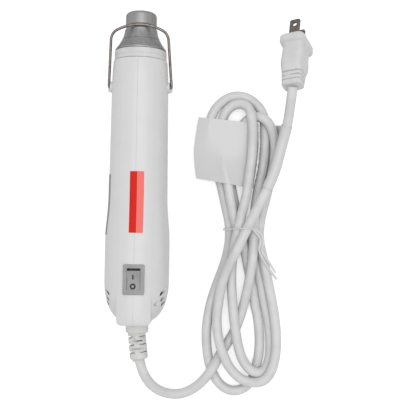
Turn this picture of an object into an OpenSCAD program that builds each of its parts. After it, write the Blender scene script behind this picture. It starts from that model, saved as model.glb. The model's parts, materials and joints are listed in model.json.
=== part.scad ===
// Embossing heat tool: a pencil-shaped hot air gun on a mains lead.
// The tool lies on its back on z = 0, nozzle towards +Y, switch up.
// Pieces of the tool are drawn upright, with z along the tool's axis from the
// cord end of the housing and the switch facing -y, and then laid down.

/* [Housing] */
// Length of the housing, cord end to front edge
housing_len = 187.5; // [182:0.5:200]
// Radius of the rear bulge
rear_r = 23.3; // [22.6:0.1:24.5]
// Radius at the rear end of the grip
grip_r = 21.2; // [21:0.1:22]
// Radius where the front taper starts
shoulder_r = 20.5; // [20.2:0.1:20.9]
// Radius of the front edge
front_r = 19.6; // [19.2:0.1:20]
// Wall of the housing
wall = 2; // [1.6:0.1:2.2]
// Length of the rounded rear end
dome_len = 28; // [26:0.5:30]
// Length of the bulge's even stretch
bulge_len = 26; // [20:1:30]
// Length of the blend from bulge to grip
blend_len = 36; // [30:1:44]
// Length of the front taper
taper_len = 24.5; // [22:0.5:27]
// Width of the band down the front and back
band_w = 24; // [22:0.5:25]
// Height of the band above the round sides
band_rise = 0.35; // [0.25:0.05:0.6]
// Width of an air slot
slot_w = 1.6; // [1.2:0.1:2]
// Spacing of the air slots along the tool
slot_pitch = 5.4; // [5:0.1:6]

/* [Nozzle and ring] */
// Length of the ring in front of the housing
ring_len = 7.5; // [6:0.5:9]
// Outer radius of the ring
ring_r = 18.9; // [18.6:0.1:19.1]
// Length of the nozzle in front of the ring
nozzle_len = 28.5; // [27:0.5:34]
// Radius of the nozzle's wide end
flare_r = 18.5; // [18:0.1:18.6]
// Radius of the nozzle's collar behind the groove
collar_r = 13.6; // [13.2:0.1:14.2]
// Radius of the nozzle's tip
tip_r = 11.3; // [11.2:0.1:11.8]
// Depth of the groove that the bail rests in
groove_depth = 0.3; // [0.2:0.05:0.5]
// Sheet thickness of the nozzle
nozzle_wall = 0.9; // [0.7:0.1:1.1]

/* [Bail] */
// Diameter of the bail's wire
bail_wire = 2; // [1.6:0.1:2.2]
// Length from pivot to crown
bail_len = 44.8; // [44.2:0.1:46]
// Distance of the pivot behind the front edge
pivot_back = 18.2; // [17.8:0.1:18.8]
// Half spacing of the legs at the pivot
bail_half_w = 22.85; // [22.6:0.05:23.4]
// Radius of a pivot lug
lug_r = 3.95; // [3.5:0.05:4.3]

/* [Switch] */
// Width of the switch flange
switch_w = 15; // [14.4:0.1:15.6]
// Length of the switch flange
switch_len = 21; // [20.4:0.1:22]
// Place of the switch's centre along the tool
switch_z = 31.7; // [31:0.1:33]
// Thickness of the flange
flange_t = 1.5; // [1.2:0.1:2]
// Depth of the switch body under the flange
switch_depth = 12; // [11:0.5:13]
// Width of the rocker
rocker_w = 9.3; // [8.8:0.1:9.6]
// Length of the rocker
rocker_len = 15.2; // [14.4:0.1:15.4]
// Angle that the rocker tilts from off to on
rocker_throw = 14; // [10:1:16]

/* [Motor and fan] */
// Radius of the motor can
motor_r = 12; // [11.5:0.1:12.4]
// Length of the motor can
motor_len = 30; // [27:0.5:31]
// Radius of the motor shaft
shaft_r = 1; // [0.8:0.1:1.2]
// Radius of the impeller
impeller_r = 16.1; // [15.5:0.1:16.3]
// Number of impeller blades
impeller_blades = 7; // [5:1:9]
// Outer radius of the fan duct
duct_r = 17.6; // [17.4:0.1:17.8]

/* [Heater] */
// Outer radius of the heat shield tube
shield_r = 14.6; // [14.3:0.1:14.6]
// Length of the mica former
former_len = 66; // [56:1:70]
// Outer radius of the wound heating coil
coil_r = 13; // [12.6:0.1:13]
// Number of turns of the coil
coil_turns = 16; // [10:1:20]

/* [Cord and plug] */
// Diameter of the mains lead
cord_d = 7.2; // [6.8:0.1:7.4]
// Radius of the strain relief's collar
relief_collar_r = 8.25; // [8:0.05:8.6]
// Radius of the strain relief's ribs
relief_rib_r = 6.45; // [6.2:0.05:6.9]
// Length of the strain relief behind the housing
relief_len = 29.5; // [29.5:0.5:36]
// Number of ribs on the strain relief
relief_ribs = 3; // [2:1:4]
// Angle that the ribbed end leans to the right
relief_lean = 4.3; // [3:0.1:5]
// Loops in the hank
hank_loops = 3; // [2:1:3]
// Distance between neighbouring turns in the hank's lobes
hank_step = 8; // [7.9:0.1:8.6]
// Distance between neighbouring turns at the hank's waist
waist_step = 8.3; // [8.2:0.1:9]
// Height of one layer of the hank
layer_rise = 7.8; // [7.8:0.1:8.4]
// Diameter of the twist tie's wire
tie_d = 1; // [0.8:0.1:1.2]
// Length of the plug body
plug_len = 38; // [36:0.5:40]
// Height of the plug's flange, blade to blade
plug_flange_h = 24; // [22:0.5:25]
// Width of the plug's flange
plug_flange_w = 18; // [16.5:0.5:19]
// Length of a plug blade
blade_len = 17; // [15.9:0.1:18.2]
// Thickness of a plug blade
blade_t = 1.5; // [1.4:0.05:1.6]
// Width of the wide blade
wide_blade = 7.9; // [7.7:0.1:8.1]
// Width of the narrow blade
narrow_blade = 6.35; // [6.1:0.05:6.5]

/* [Labels] */
// Length of the front sticker
sticker_len = 43; // [38:0.5:46]
// Width of the front sticker
sticker_w = 9.8; // [8:0.1:11]
// Length of the side panel
panel_len = 43.5; // [38:0.5:48]
// Height of the side panel
panel_h = 18; // [14:0.5:20]
// Thickness of the stickers
sticker_t = 0.2; // [0.15:0.05:0.3]

/* [Hidden] */
$fn = 64;

// Gap between pieces that are set against each other
seat_gap = 0.1;
// Gap round a piece that turns or slides
run_gap = 0.05;
// Gap where a loose piece rests on another
rest_gap = 0.3;
// How far joined shapes run into each other
merge = 0.3;

// Places along the tool
bulge_end = dome_len + bulge_len;
grip_z = bulge_end + blend_len;
shoulder_z = housing_len - taper_len;
ring_z = housing_len + ring_len;
tool_tip = ring_z + nozzle_len;
pivot_z = housing_len - pivot_back;
dome_tip_r = 8;
band_dome_len = 16;
band_tip_r = 15;
band_corner = 3;

// Strain relief
relief_flange_r = 9.5;
relief_flange_t = 2;
relief_neck_r = 6.5;
relief_core_r = 4.9;
relief_stem_r = 5.6;
relief_lap = 0.6;
relief_collar_len = 8.6;
relief_bend_z = -relief_collar_len - 2;
relief_gap = 1.4;
relief_web_w = 4;
rib_zone = relief_len + relief_bend_z;
rib_step = (rib_zone + relief_gap) / relief_ribs;

// Outer radius of the round body at z
function rounded(z, len, tip) = tip + (rear_r - tip) * sqrt(1 - pow((len - z) / len, 2));
function body_r(z) = z < dome_len ? rounded(z, dome_len, dome_tip_r)
    : z < bulge_end ? rear_r
    : z < grip_z ? rear_r + (grip_r - rear_r) * (1 - cos(180 * (z - bulge_end) / blend_len)) / 2
    : z < shoulder_z ? grip_r + (shoulder_r - grip_r) * (z - grip_z) / (shoulder_z - grip_z)
    : shoulder_r + (front_r - shoulder_r) * pow((z - shoulder_z) / taper_len, 2);
// Outer radius of the band at z, blunter at the rear end
function band_r(z) = band_rise + (z < band_dome_len ? rounded(z, band_dome_len, band_tip_r)
    : z < bulge_end ? rear_r : body_r(z));
body_stations = concat([for (i = [0:8]) dome_len * (1 - cos(90 * i / 8))],
    [for (i = [0:8]) bulge_end + blend_len * i / 8],
    [for (i = [0:4]) shoulder_z + taper_len * i / 4]);
band_stations = concat([for (i = [0:6]) band_dome_len * (1 - cos(90 * i / 6))],
    [for (i = [0:8]) bulge_end + blend_len * i / 8],
    [for (i = [0:4]) shoulder_z + taper_len * i / 4]);
rear_wall = 2.2;
cavity_stations = concat([for (i = [0:4]) rear_wall + (dome_len - rear_wall) * (1 - cos(90 * i / 4))],
    [for (i = [0:4]) bulge_end + blend_len * i / 4], [shoulder_z, housing_len]);

// The tool lies on the bulge and the shoulder, so its axis dips to the front
rear_rests = [for (z = band_stations) if (z < grip_z) z];
front_rests = [for (z = band_stations) if (z >= shoulder_z) z];
tool_tilt = atan(max([for (a = rear_rests)
    min([for (b = front_rests) (band_r(a) - band_r(b)) / (b - a)])]));
axis_h = max([for (z = band_stations) z * sin(tool_tilt) + band_r(z) * cos(tool_tilt)]);
relief_reach = rib_zone * cos(relief_lean) + relief_rib_r * sin(relief_lean) - relief_bend_z;
tool_mid = (tool_tip - relief_reach) / 2;

module lay_tool() {
    translate([0, -tool_mid * cos(tool_tilt), axis_h]) rotate([-90 - tool_tilt, 0, 0]) children();
}

// The place on the table of a point of the tool's axis
function laid(z) = [0, (z - tool_mid) * cos(tool_tilt), axis_h - z * sin(tool_tilt)];

// Sweep of a round section with n sides along a route; each ring stands square to the route
function unit(v) = v / norm(v);
function along(route, i) = unit(route[min(i + 1, len(route) - 1)] - route[max(i - 1, 0)]);
function ring_at(p, d, r, n, up) = let (side = unit(cross(d, up)), top = cross(side, d))
    [for (k = [0:n - 1]) let (a = 360 * (k + 0.5) / n) p + r * (cos(a) * side + sin(a) * top)];
module sweep_tube(route, r, n, up = [0, 0, 1]) {
    rings = len(route);
    points = [for (i = [0:rings - 1]) each ring_at(route[i], along(route, i), r, n, up)];
    sides = [for (i = [0:rings - 2], k = [0:n - 1], h = [0, 1]) let (a = i * n + k, b = i * n + (k + 1) % n)
        h == 0 ? [a, b + n, a + n] : [a, b, b + n]];
    caps = [for (k = [1:n - 2], h = [0, 1]) let (z = (rings - 1) * n)
        h == 0 ? [0, k + 1, k] : [z, z + k, z + k + 1]];
    polyhedron(points = points, faces = concat(sides, caps), convexity = 10);
}

// A thin insulated wire inside the tool
module wire(points, r) {
    sweep_tube(points, r, 6, [1, 0, 0]);
}

module tube(r, bore, z0, z1) {
    translate([0, 0, z0]) difference() {
        cylinder(h = z1 - z0, r = r);
        translate([0, 0, -1]) cylinder(h = z1 - z0 + 2, r = bore);
    }
}

// Screws that hold the two halves, as [y, z, half length of the boss]
screw_r = 1;
screw_head_r = 1.8;
screw_head_h = 1.4;
screw_seat = 1.5;
boss_r = 3.3;
rear_screw_z = 13.6;
rear_screw_y = 14.2;
mid_screw_z = grip_z - 20;
mid_screw_y = 16.2;
housing_screw_places = [[-rear_screw_y, rear_screw_z], [rear_screw_y, rear_screw_z],
    [mid_screw_y, mid_screw_z]];
function skin_x(y, z) = sqrt(pow(body_r(z), 2) - y * y);
function head_x(y, z) = skin_x(y, z) - wall - screw_seat;
screw_depth = 8;

// Fan, motor and heater places
motor_back = 34;
motor_z = grip_z - motor_back;
motor_front = motor_z + motor_len;
fan_gap = 4;
impeller_z = motor_front + fan_gap;
impeller_h = 9;
duct_wall = 1;
duct_lap = 6;
duct_z0 = motor_front - duct_lap;
heater_gap = 12;
heater_z = impeller_z + impeller_h + heater_gap;
shield_wall = 0.5;
sleeve_r = shield_r - shield_wall - seat_gap;
sleeve_wall = 0.4;
sleeve_back = 2;
former_r = coil_r - 1.3;
former_t = 0.8;
duct_ring_len = 4;
duct_front = heater_z - 1;
rib_t = 1.5;

// Switch places, as heights above the tool's axis
pad_h = rear_r + band_rise - 1;
switch_top = pad_h + flange_t;
switch_body_w = switch_w - 2;
switch_body_len = switch_len - 1.8;
rocker_pivot_h = switch_top - 3;
rocker_gap = 0.35;
pocket_depth = 9;
pocket_w = rocker_w + 2 * rocker_gap;
pocket_len = rocker_len + 1.2 + 2 * rocker_gap;
rocker_pin_r = 1.2;
rocker_pin_len = 0.8;
rocker_rise = 4.2;
rocker_dip = 2.8;
rocker_keel = 4.6;
terminal_h = 6;
switch_bottom = switch_top - flange_t - switch_depth;

// Bail, at rest on the nozzle's groove and swung back to the band
groove_r = tip_r - groove_depth;
wire_r = bail_wire / 2;
bail_rest = asin((groove_r + wire_r + rest_gap) / bail_len);
bail_back = asin((band_r(pivot_z - 38) + wire_r + rest_gap) / bail_len);
bail_swing = 180 - bail_rest - bail_back;
bail_corner_r = 8;
bail_neck = 2.1;
bail_bow = 0.9;
pin_depth = 3.5;
lug_reach = bail_half_w + 0.75;
lug_slot_x = bail_half_w - wire_r - rest_gap;

echo(tool_tilt = tool_tilt, axis_h = axis_h);
echo(pivot = laid(pivot_z), bail_rest = bail_rest, bail_swing = bail_swing);
echo(rocker_pivot = laid(switch_z) + rocker_pivot_h * [0, sin(tool_tilt), cos(tool_tilt)]);
echo(shaft = laid(impeller_z), tip = laid(tool_tip), relief_end = laid(-relief_len));

// Ring that holds the strain relief's flange, and the clamp on the lead
retainer_z = rear_wall + relief_flange_t + 2 * seat_gap;
inner_cord_r = cord_d / 2 - run_gap;
clamp_z = 12;
clamp_w = 5;
clamp_half = 8;
clamp_screw_x = 6.2;
clamp_t = 2.4;
clamp_screw_r = 0.9;
clamp_screw_len = 6;
cord_end_z = clamp_z + clamp_w + 1.5;
lead_r = 0.9;

module lean_relief() {
    translate([0, 0, relief_bend_z]) rotate([0, -relief_lean, 0]) children();
}

// Air slots, slanted planes through the sides, as [z, half height]
slot_places = [[21.4, 12.5], [21.4 - slot_pitch, 9.5], [21.4 - 2 * slot_pitch, 6.5]];

module turned_body() {
    rotate_extrude() polygon(concat([[0, 0]], [for (z = body_stations) [body_r(z), z]],
        [[0, housing_len]]));
}

module band() {
    intersection() {
        rotate_extrude() polygon(concat([[0, 0]], [for (z = band_stations) [band_r(z), z]],
            [[0, housing_len]]));
        rotate([90, 0, 0]) translate([0, 0, -rear_r - 5]) linear_extrude(2 * rear_r + 10) union() {
            translate([-band_w / 2, band_corner]) square([band_w, housing_len]);
            translate([band_corner - band_w / 2, 0]) square([band_w - 2 * band_corner, band_corner + 1]);
            for (s = [-1, 1])
                translate([s * (band_w / 2 - band_corner), band_corner]) circle(r = band_corner);
        }
    }
}

module cavity() {
    rotate_extrude() polygon(concat([[0, rear_wall]],
        [for (z = cavity_stations) [body_r(z) - wall, z]],
        [[body_r(housing_len) - wall, housing_len + 1], [0, housing_len + 1]]));
}

module air_slots(side) {
    for (p = slot_places)
        translate([side * (body_r(p[0]) - 1.8), -p[1], p[0]]) rotate([0, side * 45, 0])
            translate([-slot_w / 2, 0, -6]) cube([slot_w, 2 * p[1], 12]);
}

// A ring inside the housing that holds a round piece of radius r
module inner_rib(z, r) {
    rotate_extrude() polygon([[r, z], [body_r(z) - wall + merge, z],
        [body_r(z + rib_t) - wall + merge, z + rib_t], [r, z + rib_t]]);
}

module screw_axis(p) {
    translate([0, p[0], p[1]]) rotate([0, 90, 0]) children();
}

// What one half has inside, drawn for the right side
module half_inside() {
    for (p = housing_screw_places)
        screw_axis(p) cylinder(h = skin_x(p[0], p[1]) - wall + merge, r = boss_r);
    translate([0, cord_d / 2 + seat_gap, clamp_z])
        cube([clamp_half, rear_screw_y - boss_r / 2 - cord_d / 2, clamp_w]);
    translate([cord_d / 2 + seat_gap, -cord_d / 2, clamp_z])
        cube([clamp_half - cord_d / 2 - seat_gap, cord_d + 1, clamp_w]);
    translate([board_half - 0.8, board_y + board_t + seat_gap, board_z])
        cube([skin_x(board_y + board_t, board_z) - wall / 2 - board_half, 1.6, board_len]);
}

module lug(side) {
    translate([side * (body_r(pivot_z) - wall / 2), 0, pivot_z]) rotate([0, side * 90, 0])
        cylinder(h = lug_reach - body_r(pivot_z) + wall / 2, r = lug_r);
}

module half_housing(side) {
    difference() {
        union() {
            difference() {
                union() {
                    turned_body();
                    band();
                    lug(side);
                }
                cavity();
            }
            intersection() {
                mirror([side < 0 ? 1 : 0, 0, 0]) half_inside();
                turned_body();
            }
            inner_rib(retainer_z, relief_neck_r);
            inner_rib(duct_z0 + 8, duct_r + seat_gap);
            inner_rib(duct_front - 3, duct_r + seat_gap);
        }
        // The other half
        translate([side > 0 ? -60 : 0, -40, -10]) cube([60, 80, housing_len + 20]);
        // Cord end
        translate([0, 0, -1]) cylinder(h = rear_wall + 2, r = relief_neck_r + seat_gap);
        // Switch pad and hole
        translate([-switch_w / 2 - seat_gap, -rear_r - 5, switch_z - switch_len / 2 - seat_gap])
            cube([switch_w + 2 * seat_gap, 5 + rear_r - pad_h, switch_len + 2 * seat_gap]);
        translate([-switch_body_w / 2 - seat_gap, -rear_r - 5, switch_z - switch_body_len / 2 - seat_gap])
            cube([switch_body_w + 2 * seat_gap, 10, switch_body_len + 2 * seat_gap]);
        air_slots(side);
        // Bail hole and the slot that the leg swings in
        translate([side * (bail_half_w - pin_depth - rest_gap), 0, pivot_z]) rotate([0, side * 90, 0])
            cylinder(h = pin_depth + 5, r = wire_r + run_gap);
        translate([side > 0 ? lug_slot_x : -lug_slot_x - 5, -lug_r - 1, pivot_z - lug_r - 1])
            cube([5, lug_r + 1 + wire_r + rest_gap, 2 * lug_r + 2]);
        // Screw holes, with the heads sunk on the right
        for (p = housing_screw_places) {
            mirror([side < 0 ? 1 : 0, 0, 0]) screw_axis(p) translate([0, 0, -1])
                cylinder(h = (side < 0 ? screw_depth + 0.5 : 30) + 1, r = screw_r + run_gap);
            if (side > 0) screw_axis(p) translate([0, 0, head_x(p[0], p[1])])
                cylinder(h = 20, r = screw_head_r + 2 * seat_gap);
        }
        translate([side * clamp_screw_x, -cord_d / 2 - 1, clamp_z + clamp_w / 2]) rotate([-90, 0, 0])
            cylinder(h = clamp_screw_len - clamp_t + 1.5, r = clamp_screw_r + run_gap);
        // Way for the heater leads past the ribs
        heater_lead_way();
    }
}

module left_housing() {
    color("whitesmoke") lay_tool() half_housing(-1);
}

module right_housing() {
    color("whitesmoke") lay_tool() half_housing(1);
}

module housing_screws() {
    color("silver") lay_tool() for (p = housing_screw_places) screw_axis(p) {
        translate([0, 0, -screw_depth]) cylinder(h = screw_depth + head_x(p[0], p[1]) + merge, r = screw_r);
        translate([0, 0, head_x(p[0], p[1]) + run_gap]) difference() {
            cylinder(h = screw_head_h, r = screw_head_r);
            translate([-0.3, -0.3 - 1, screw_head_h - 0.6]) cube([0.6, 2.6, 1]);
            translate([-0.3 - 1, -0.3, screw_head_h - 0.6]) cube([2.6, 0.6, 1]);
        }
    }
}

// Ring between housing and nozzle, with a spigot held by the two halves
spigot_r = body_r(housing_len) - wall - seat_gap;
spigot_len = 6;
ring_bore = spigot_r - 1.9;
nozzle_spigot_len = ring_len + 2;
edge_round = 0.8;
module front_ring() {
    color("lightgray") lay_tool() translate([0, 0, housing_len]) rotate_extrude() polygon([
        [ring_bore, -spigot_len], [spigot_r, -spigot_len], [spigot_r, seat_gap], [ring_r, seat_gap],
        [ring_r, ring_len - edge_round], [ring_r - edge_round, ring_len], [ring_bore, ring_len]]);
}

// Outside of the nozzle: wide lip, hollow flare, collar, groove and round tip
lip_len = 1.4;
collar_len = 2.6;
collar_drop = 3.6;
groove_z = pivot_z + bail_len * cos(bail_rest) - ring_z;
groove_half = wire_r + 0.2;
flare_len = groove_z - groove_half - collar_drop - collar_len;
tip_round = 2.2;
tip_lip = 0.8;
outer_line = concat([for (z = [0, lip_len]) [flare_r, z]],
    [for (i = [1:6]) let (u = i / 6)
        [collar_r + (flare_r - collar_r) * pow(1 - u, 1.3), lip_len + (flare_len - lip_len) * u]],
    [[collar_r, flare_len + collar_len], [collar_r - 0.8, flare_len + collar_len + 1.2],
    [groove_r, groove_z - groove_half - 0.2], [groove_r, groove_z + groove_half]],
    [[tip_r, groove_z + groove_half + 0.5]],
    [for (a = [0:22.5:90]) [tip_r - tip_round * (1 - cos(a)), nozzle_len - tip_round * (1 - sin(a))]]);
nozzle_bore = tip_r - tip_round + 0.1;
module nozzle() {
    color("silver") lay_tool() translate([0, 0, ring_z]) difference() {
        union() {
            rotate_extrude() polygon(concat([[nozzle_bore, seat_gap]],
                [for (p = outer_line) [p[0], max(p[1], seat_gap)]], [[nozzle_bore, nozzle_len]]));
            tube(ring_bore - seat_gap, ring_bore - seat_gap - nozzle_wall, -nozzle_spigot_len, 1);
        }
        rotate_extrude() polygon(concat([[0, -nozzle_spigot_len - 1],
            [shield_r + seat_gap, -nozzle_spigot_len - 1],
            [shield_r + seat_gap, 2]],
            [[collar_r - nozzle_wall, flare_len], [collar_r - nozzle_wall, flare_len + collar_len],
            [groove_r - nozzle_wall, groove_z - groove_half],
            [groove_r - nozzle_wall, nozzle_len - tip_round],
            [nozzle_bore, nozzle_len - tip_lip], [nozzle_bore, nozzle_len + 1], [0, nozzle_len + 1]]));
    }
}

module heat_shield() {
    color("gainsboro") lay_tool()
        tube(shield_r, shield_r - shield_wall, heater_z - duct_ring_len, ring_z + 1);
}

module mica_sleeve() {
    color("khaki") lay_tool() tube(sleeve_r, sleeve_r - sleeve_wall, heater_z - sleeve_back,
        heater_z + former_len + 3);
}

// Two crossed mica plates that carry the coil
module mica_former() {
    color("darkkhaki") lay_tool() translate([0, 0, heater_z]) union() {
        translate([-former_r, -former_t / 2, 0]) cube([2 * former_r, former_t, former_len]);
        translate([-former_t / 2, -former_r, 0]) cube([former_t, 2 * former_r, former_len]);
        difference() {
            translate([0, 0, former_len - 1.5]) cylinder(h = 1, r = sleeve_r - sleeve_wall - seat_gap);
            translate([0, 0, former_len - 2.5]) cylinder(h = 3, r = former_r - 1.5);
        }
    }
}

// The coil as a ribbed sleeve on the former's edges
coil_margin = 5;
coil_pitch = (former_len - 2 * coil_margin) / coil_turns;
module heating_coil() {
    color("dimgray") lay_tool() translate([0, 0, heater_z + coil_margin]) rotate_extrude() polygon(concat(
        [[former_r + seat_gap, 0]],
        [for (i = [0:coil_turns - 1], s = [0.2, 0.5, 0.8])
            [s == 0.5 ? coil_r : coil_r - 0.6, (i + s) * coil_pitch]],
        [[former_r + seat_gap, coil_turns * coil_pitch]]));
}

// A thermal cut-off beside the crossed plates
cutoff_r = 2;
cutoff_at = former_t / 2 + rest_gap + cutoff_r;
module thermal_cutoff() {
    color("tan") lay_tool() translate([cutoff_at, cutoff_at, heater_z + 1]) {
        cylinder(h = 9, r = cutoff_r);
        translate([0, 0, -3]) cylinder(h = 4, r = 0.5);
    }
}

// Two leads from the rectifier board, outside the duct, to the heater
heater_lead_r = 0.55;
heater_lead_x = 2.6;
heater_lead_y = duct_r + heater_lead_r + seat_gap;
heater_lead_z = duct_front - duct_ring_len - 1.5;
heater_lead_top = 5.5;
module heater_lead_way() {
    for (x = [-heater_lead_x, heater_lead_x])
        translate([x, heater_lead_y, board_z])
            cylinder(h = heater_lead_z - board_z, r = heater_lead_r + rest_gap);
}
module heater_leads() {
    color("firebrick") lay_tool() for (x = [-heater_lead_x, heater_lead_x])
        wire([[x, board_y + board_t + seat_gap, board_z + board_len - 3],
            [x, board_y + board_t + 2.5, board_z + board_len - 2.5],
            [x, heater_lead_y, board_z + board_len + 4],
            [x, heater_lead_y, heater_lead_z], [x, heater_lead_top, heater_lead_z],
            [x, heater_lead_top, heater_z + 3]], heater_lead_r);
}

// Duct that holds the motor by three arms and guides the air to the heater
arm_w = 2;
arm_len = 4;
module fan_duct() {
    color("dimgray") lay_tool() difference() {
        union() {
            tube(duct_r, duct_r - duct_wall, duct_z0, duct_front);
            tube(duct_r - duct_wall / 2, shield_r + seat_gap, duct_front - duct_ring_len, duct_front);
            tube(motor_r + 1.2, motor_r + run_gap, duct_z0, motor_front - 0.5);
            for (a = [30, 150, 270]) rotate([0, 0, a]) translate([motor_r + 0.8, -arm_w / 2, duct_z0])
                cube([duct_r - duct_wall / 2 - motor_r - 0.8, arm_w, arm_len]);
        }
        for (x = [-heater_lead_x, heater_lead_x])
            translate([x, 0, heater_lead_z]) rotate([-90, 0, 0])
                cylinder(h = duct_r + 2, r = heater_lead_r + rest_gap);
    }
}

module motor_can() {
    color("silver") lay_tool() difference() {
        union() {
            translate([0, 0, motor_z]) cylinder(h = motor_len, r = motor_r);
            translate([0, 0, motor_z - 1.6]) cylinder(h = motor_len + 3.2, r = 3);
        }
        translate([0, 0, motor_z - 3]) cylinder(h = motor_len + 6, r = shaft_r + run_gap);
    }
}

module motor_shaft() {
    color("darkgray") lay_tool() translate([0, 0, motor_z - 3])
        cylinder(h = impeller_z + impeller_h + 1 - motor_z + 3, r = shaft_r);
}

hub_r = 4;
module impeller() {
    color("black") lay_tool() translate([0, 0, impeller_z]) difference() {
        union() {
            cylinder(h = impeller_h, r = hub_r);
            intersection() {
                cylinder(h = impeller_h, r = impeller_r);
                for (i = [0:impeller_blades - 1]) rotate([0, 0, 360 * i / impeller_blades])
                    translate([hub_r - 1, 0, impeller_h / 2]) rotate([35, 0, 0])
                        translate([0, -0.5, -impeller_h]) cube([impeller_r, 1, 2 * impeller_h]);
            }
        }
        translate([0, 0, -1]) cylinder(h = impeller_h + 2, r = shaft_r + run_gap / 2);
    }
}

// Rectifier board under the switch
board_half = 11;
board_len = 20;
board_t = 1.2;
board_y = 11.5;
board_z = 24;
module rectifier_board() {
    color("seagreen") lay_tool() translate([-board_half, board_y, board_z])
        cube([2 * board_half, board_t, board_len]);
}

diode_r = 1.35;
module rectifier_diodes() {
    color("black") lay_tool() for (i = [0:3])
        translate([-7.5 + 5 * i, board_y - seat_gap - diode_r, board_z + 5]) {
            cylinder(h = 5.2, r = diode_r);
            translate([0, 0, -2]) cylinder(h = 9.2, r = 0.4);
        }
}

module motor_leads() {
    color("royalblue") lay_tool() for (x = [-5, 5])
        wire([[x, board_y - 1.2, board_z + board_len - 3], [x, board_y - 2.5, board_z + board_len + 3],
            [x, 6, motor_z - rest_gap - lead_r]], lead_r);
}

module switch_frame() {
    color("darkgray") lay_tool() difference() {
        union() {
            translate([-switch_w / 2, -switch_top, switch_z - switch_len / 2])
                cube([switch_w, flange_t, switch_len]);
            translate([-switch_body_w / 2, -switch_top + flange_t - merge, switch_z - switch_body_len / 2])
                cube([switch_body_w, switch_depth + merge, switch_body_len]);
        }
        translate([-pocket_w / 2, -switch_top - 1, switch_z - pocket_len / 2])
            cube([pocket_w, pocket_depth + 1, pocket_len]);
        translate([-pocket_w / 2 - rocker_pin_len, -rocker_pivot_h, switch_z]) rotate([0, 90, 0])
            cylinder(h = pocket_w + 2 * rocker_pin_len, r = rocker_pin_r + run_gap);
    }
}

// Rocker, with its end towards the nozzle up, which is off
module rocker() {
    half = rocker_len / 2;
    color("silver") lay_tool() translate([0, -rocker_pivot_h, switch_z]) rotate([rocker_throw / 2, 0, 0])
        union() {
            translate([-rocker_w / 2, 0, 0]) rotate([90, 0, 90]) linear_extrude(rocker_w) polygon([
                [-rocker_rise, -half], [-rocker_dip, 0], [-rocker_rise, half],
                [rocker_keel * 0.4, half - 1.4], [rocker_keel, 0], [rocker_keel * 0.4, 1.4 - half]]);
            translate([-rocker_w / 2 - rocker_pin_len, 0, 0]) rotate([0, 90, 0])
                cylinder(h = rocker_w + 2 * rocker_pin_len, r = rocker_pin_r);
        }
}

terminal_places = [-5.5, 5.5];
module switch_terminals() {
    color("gold") lay_tool() for (z = terminal_places)
        translate([-2.4, -switch_bottom + seat_gap, switch_z + z - 0.4]) cube([4.8, terminal_h, 0.8]);
}

module supply_leads() {
    end_y = -switch_bottom + seat_gap + terminal_h + rest_gap + lead_r;
    color("black") lay_tool() for (i = [0, 1]) {
        x = i == 0 ? -1.5 : 1.5;
        wire([[x, 0, cord_end_z + seat_gap], [x, 0, cord_end_z + 2],
            [x, end_y, switch_z + terminal_places[i]]], lead_r);
    }
}

module strain_relief() {
    color("whitesmoke") lay_tool() difference() {
        union() {
            translate([0, 0, rear_wall + seat_gap]) cylinder(h = relief_flange_t, r = relief_flange_r);
            translate([0, 0, -merge]) cylinder(h = rear_wall + relief_flange_t + merge, r = relief_neck_r);
            translate([0, 0, -relief_collar_len])
                cylinder(h = relief_collar_len - seat_gap, r = relief_collar_r);
            translate([0, 0, relief_bend_z - relief_lap])
                cylinder(h = relief_lap - relief_bend_z, r = relief_stem_r);
            lean_relief() relief_ribbed();
        }
        translate([0, 0, relief_bend_z - relief_lap]) cylinder(h = 40, r = cord_d / 2 + rest_gap);
        lean_relief() translate([0, 0, -relief_len]) cylinder(h = relief_len + relief_lap, r = cord_d / 2);
    }
}

// Ribs on a thin core, joined by webs that change sides
module relief_ribbed() {
    translate([0, 0, -rib_zone]) cylinder(h = rib_zone + 0.5, r = relief_core_r);
    for (i = [0:relief_ribs - 1]) {
        rib_end = relief_gap - rib_step * (i + 1);
        translate([0, 0, rib_end]) cylinder(h = rib_step - relief_gap, r = relief_rib_r);
        rotate([0, 0, 90 * (i % 2)]) translate([0.4 - relief_rib_r, -relief_web_w / 2, rib_end])
            cube([2 * relief_rib_r - 0.8, relief_web_w, rib_step]);
    }
}

// The lead's end inside the strain relief and the clamp
module inner_cord() {
    color("white") lay_tool() union() {
        translate([0, 0, relief_bend_z - relief_lap])
            cylinder(h = cord_end_z - relief_bend_z + relief_lap, r = inner_cord_r);
        lean_relief() translate([0, 0, -rib_zone])
            cylinder(h = rib_zone + merge, r = inner_cord_r - seat_gap);
    }
}

module cord_clamp() {
    color("silver") lay_tool() difference() {
        translate([-clamp_half, -cord_d / 2 - seat_gap - clamp_t, clamp_z])
            cube([2 * clamp_half, clamp_t, clamp_w]);
        for (x = [-clamp_screw_x, clamp_screw_x]) translate([x, 0, clamp_z + clamp_w / 2]) rotate([90, 0, 0])
            cylinder(h = 10, r = clamp_screw_r + run_gap);
    }
}

module clamp_screws() {
    top = cord_d / 2 + seat_gap + clamp_t + run_gap;
    color("dimgray") lay_tool() for (x = [-clamp_screw_x, clamp_screw_x])
        translate([x, -top, clamp_z + clamp_w / 2]) rotate([-90, 0, 0]) {
            translate([0, 0, -1.2]) cylinder(h = 1.2, r = 1.7);
            cylinder(h = clamp_screw_len, r = clamp_screw_r);
        }
}

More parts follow.
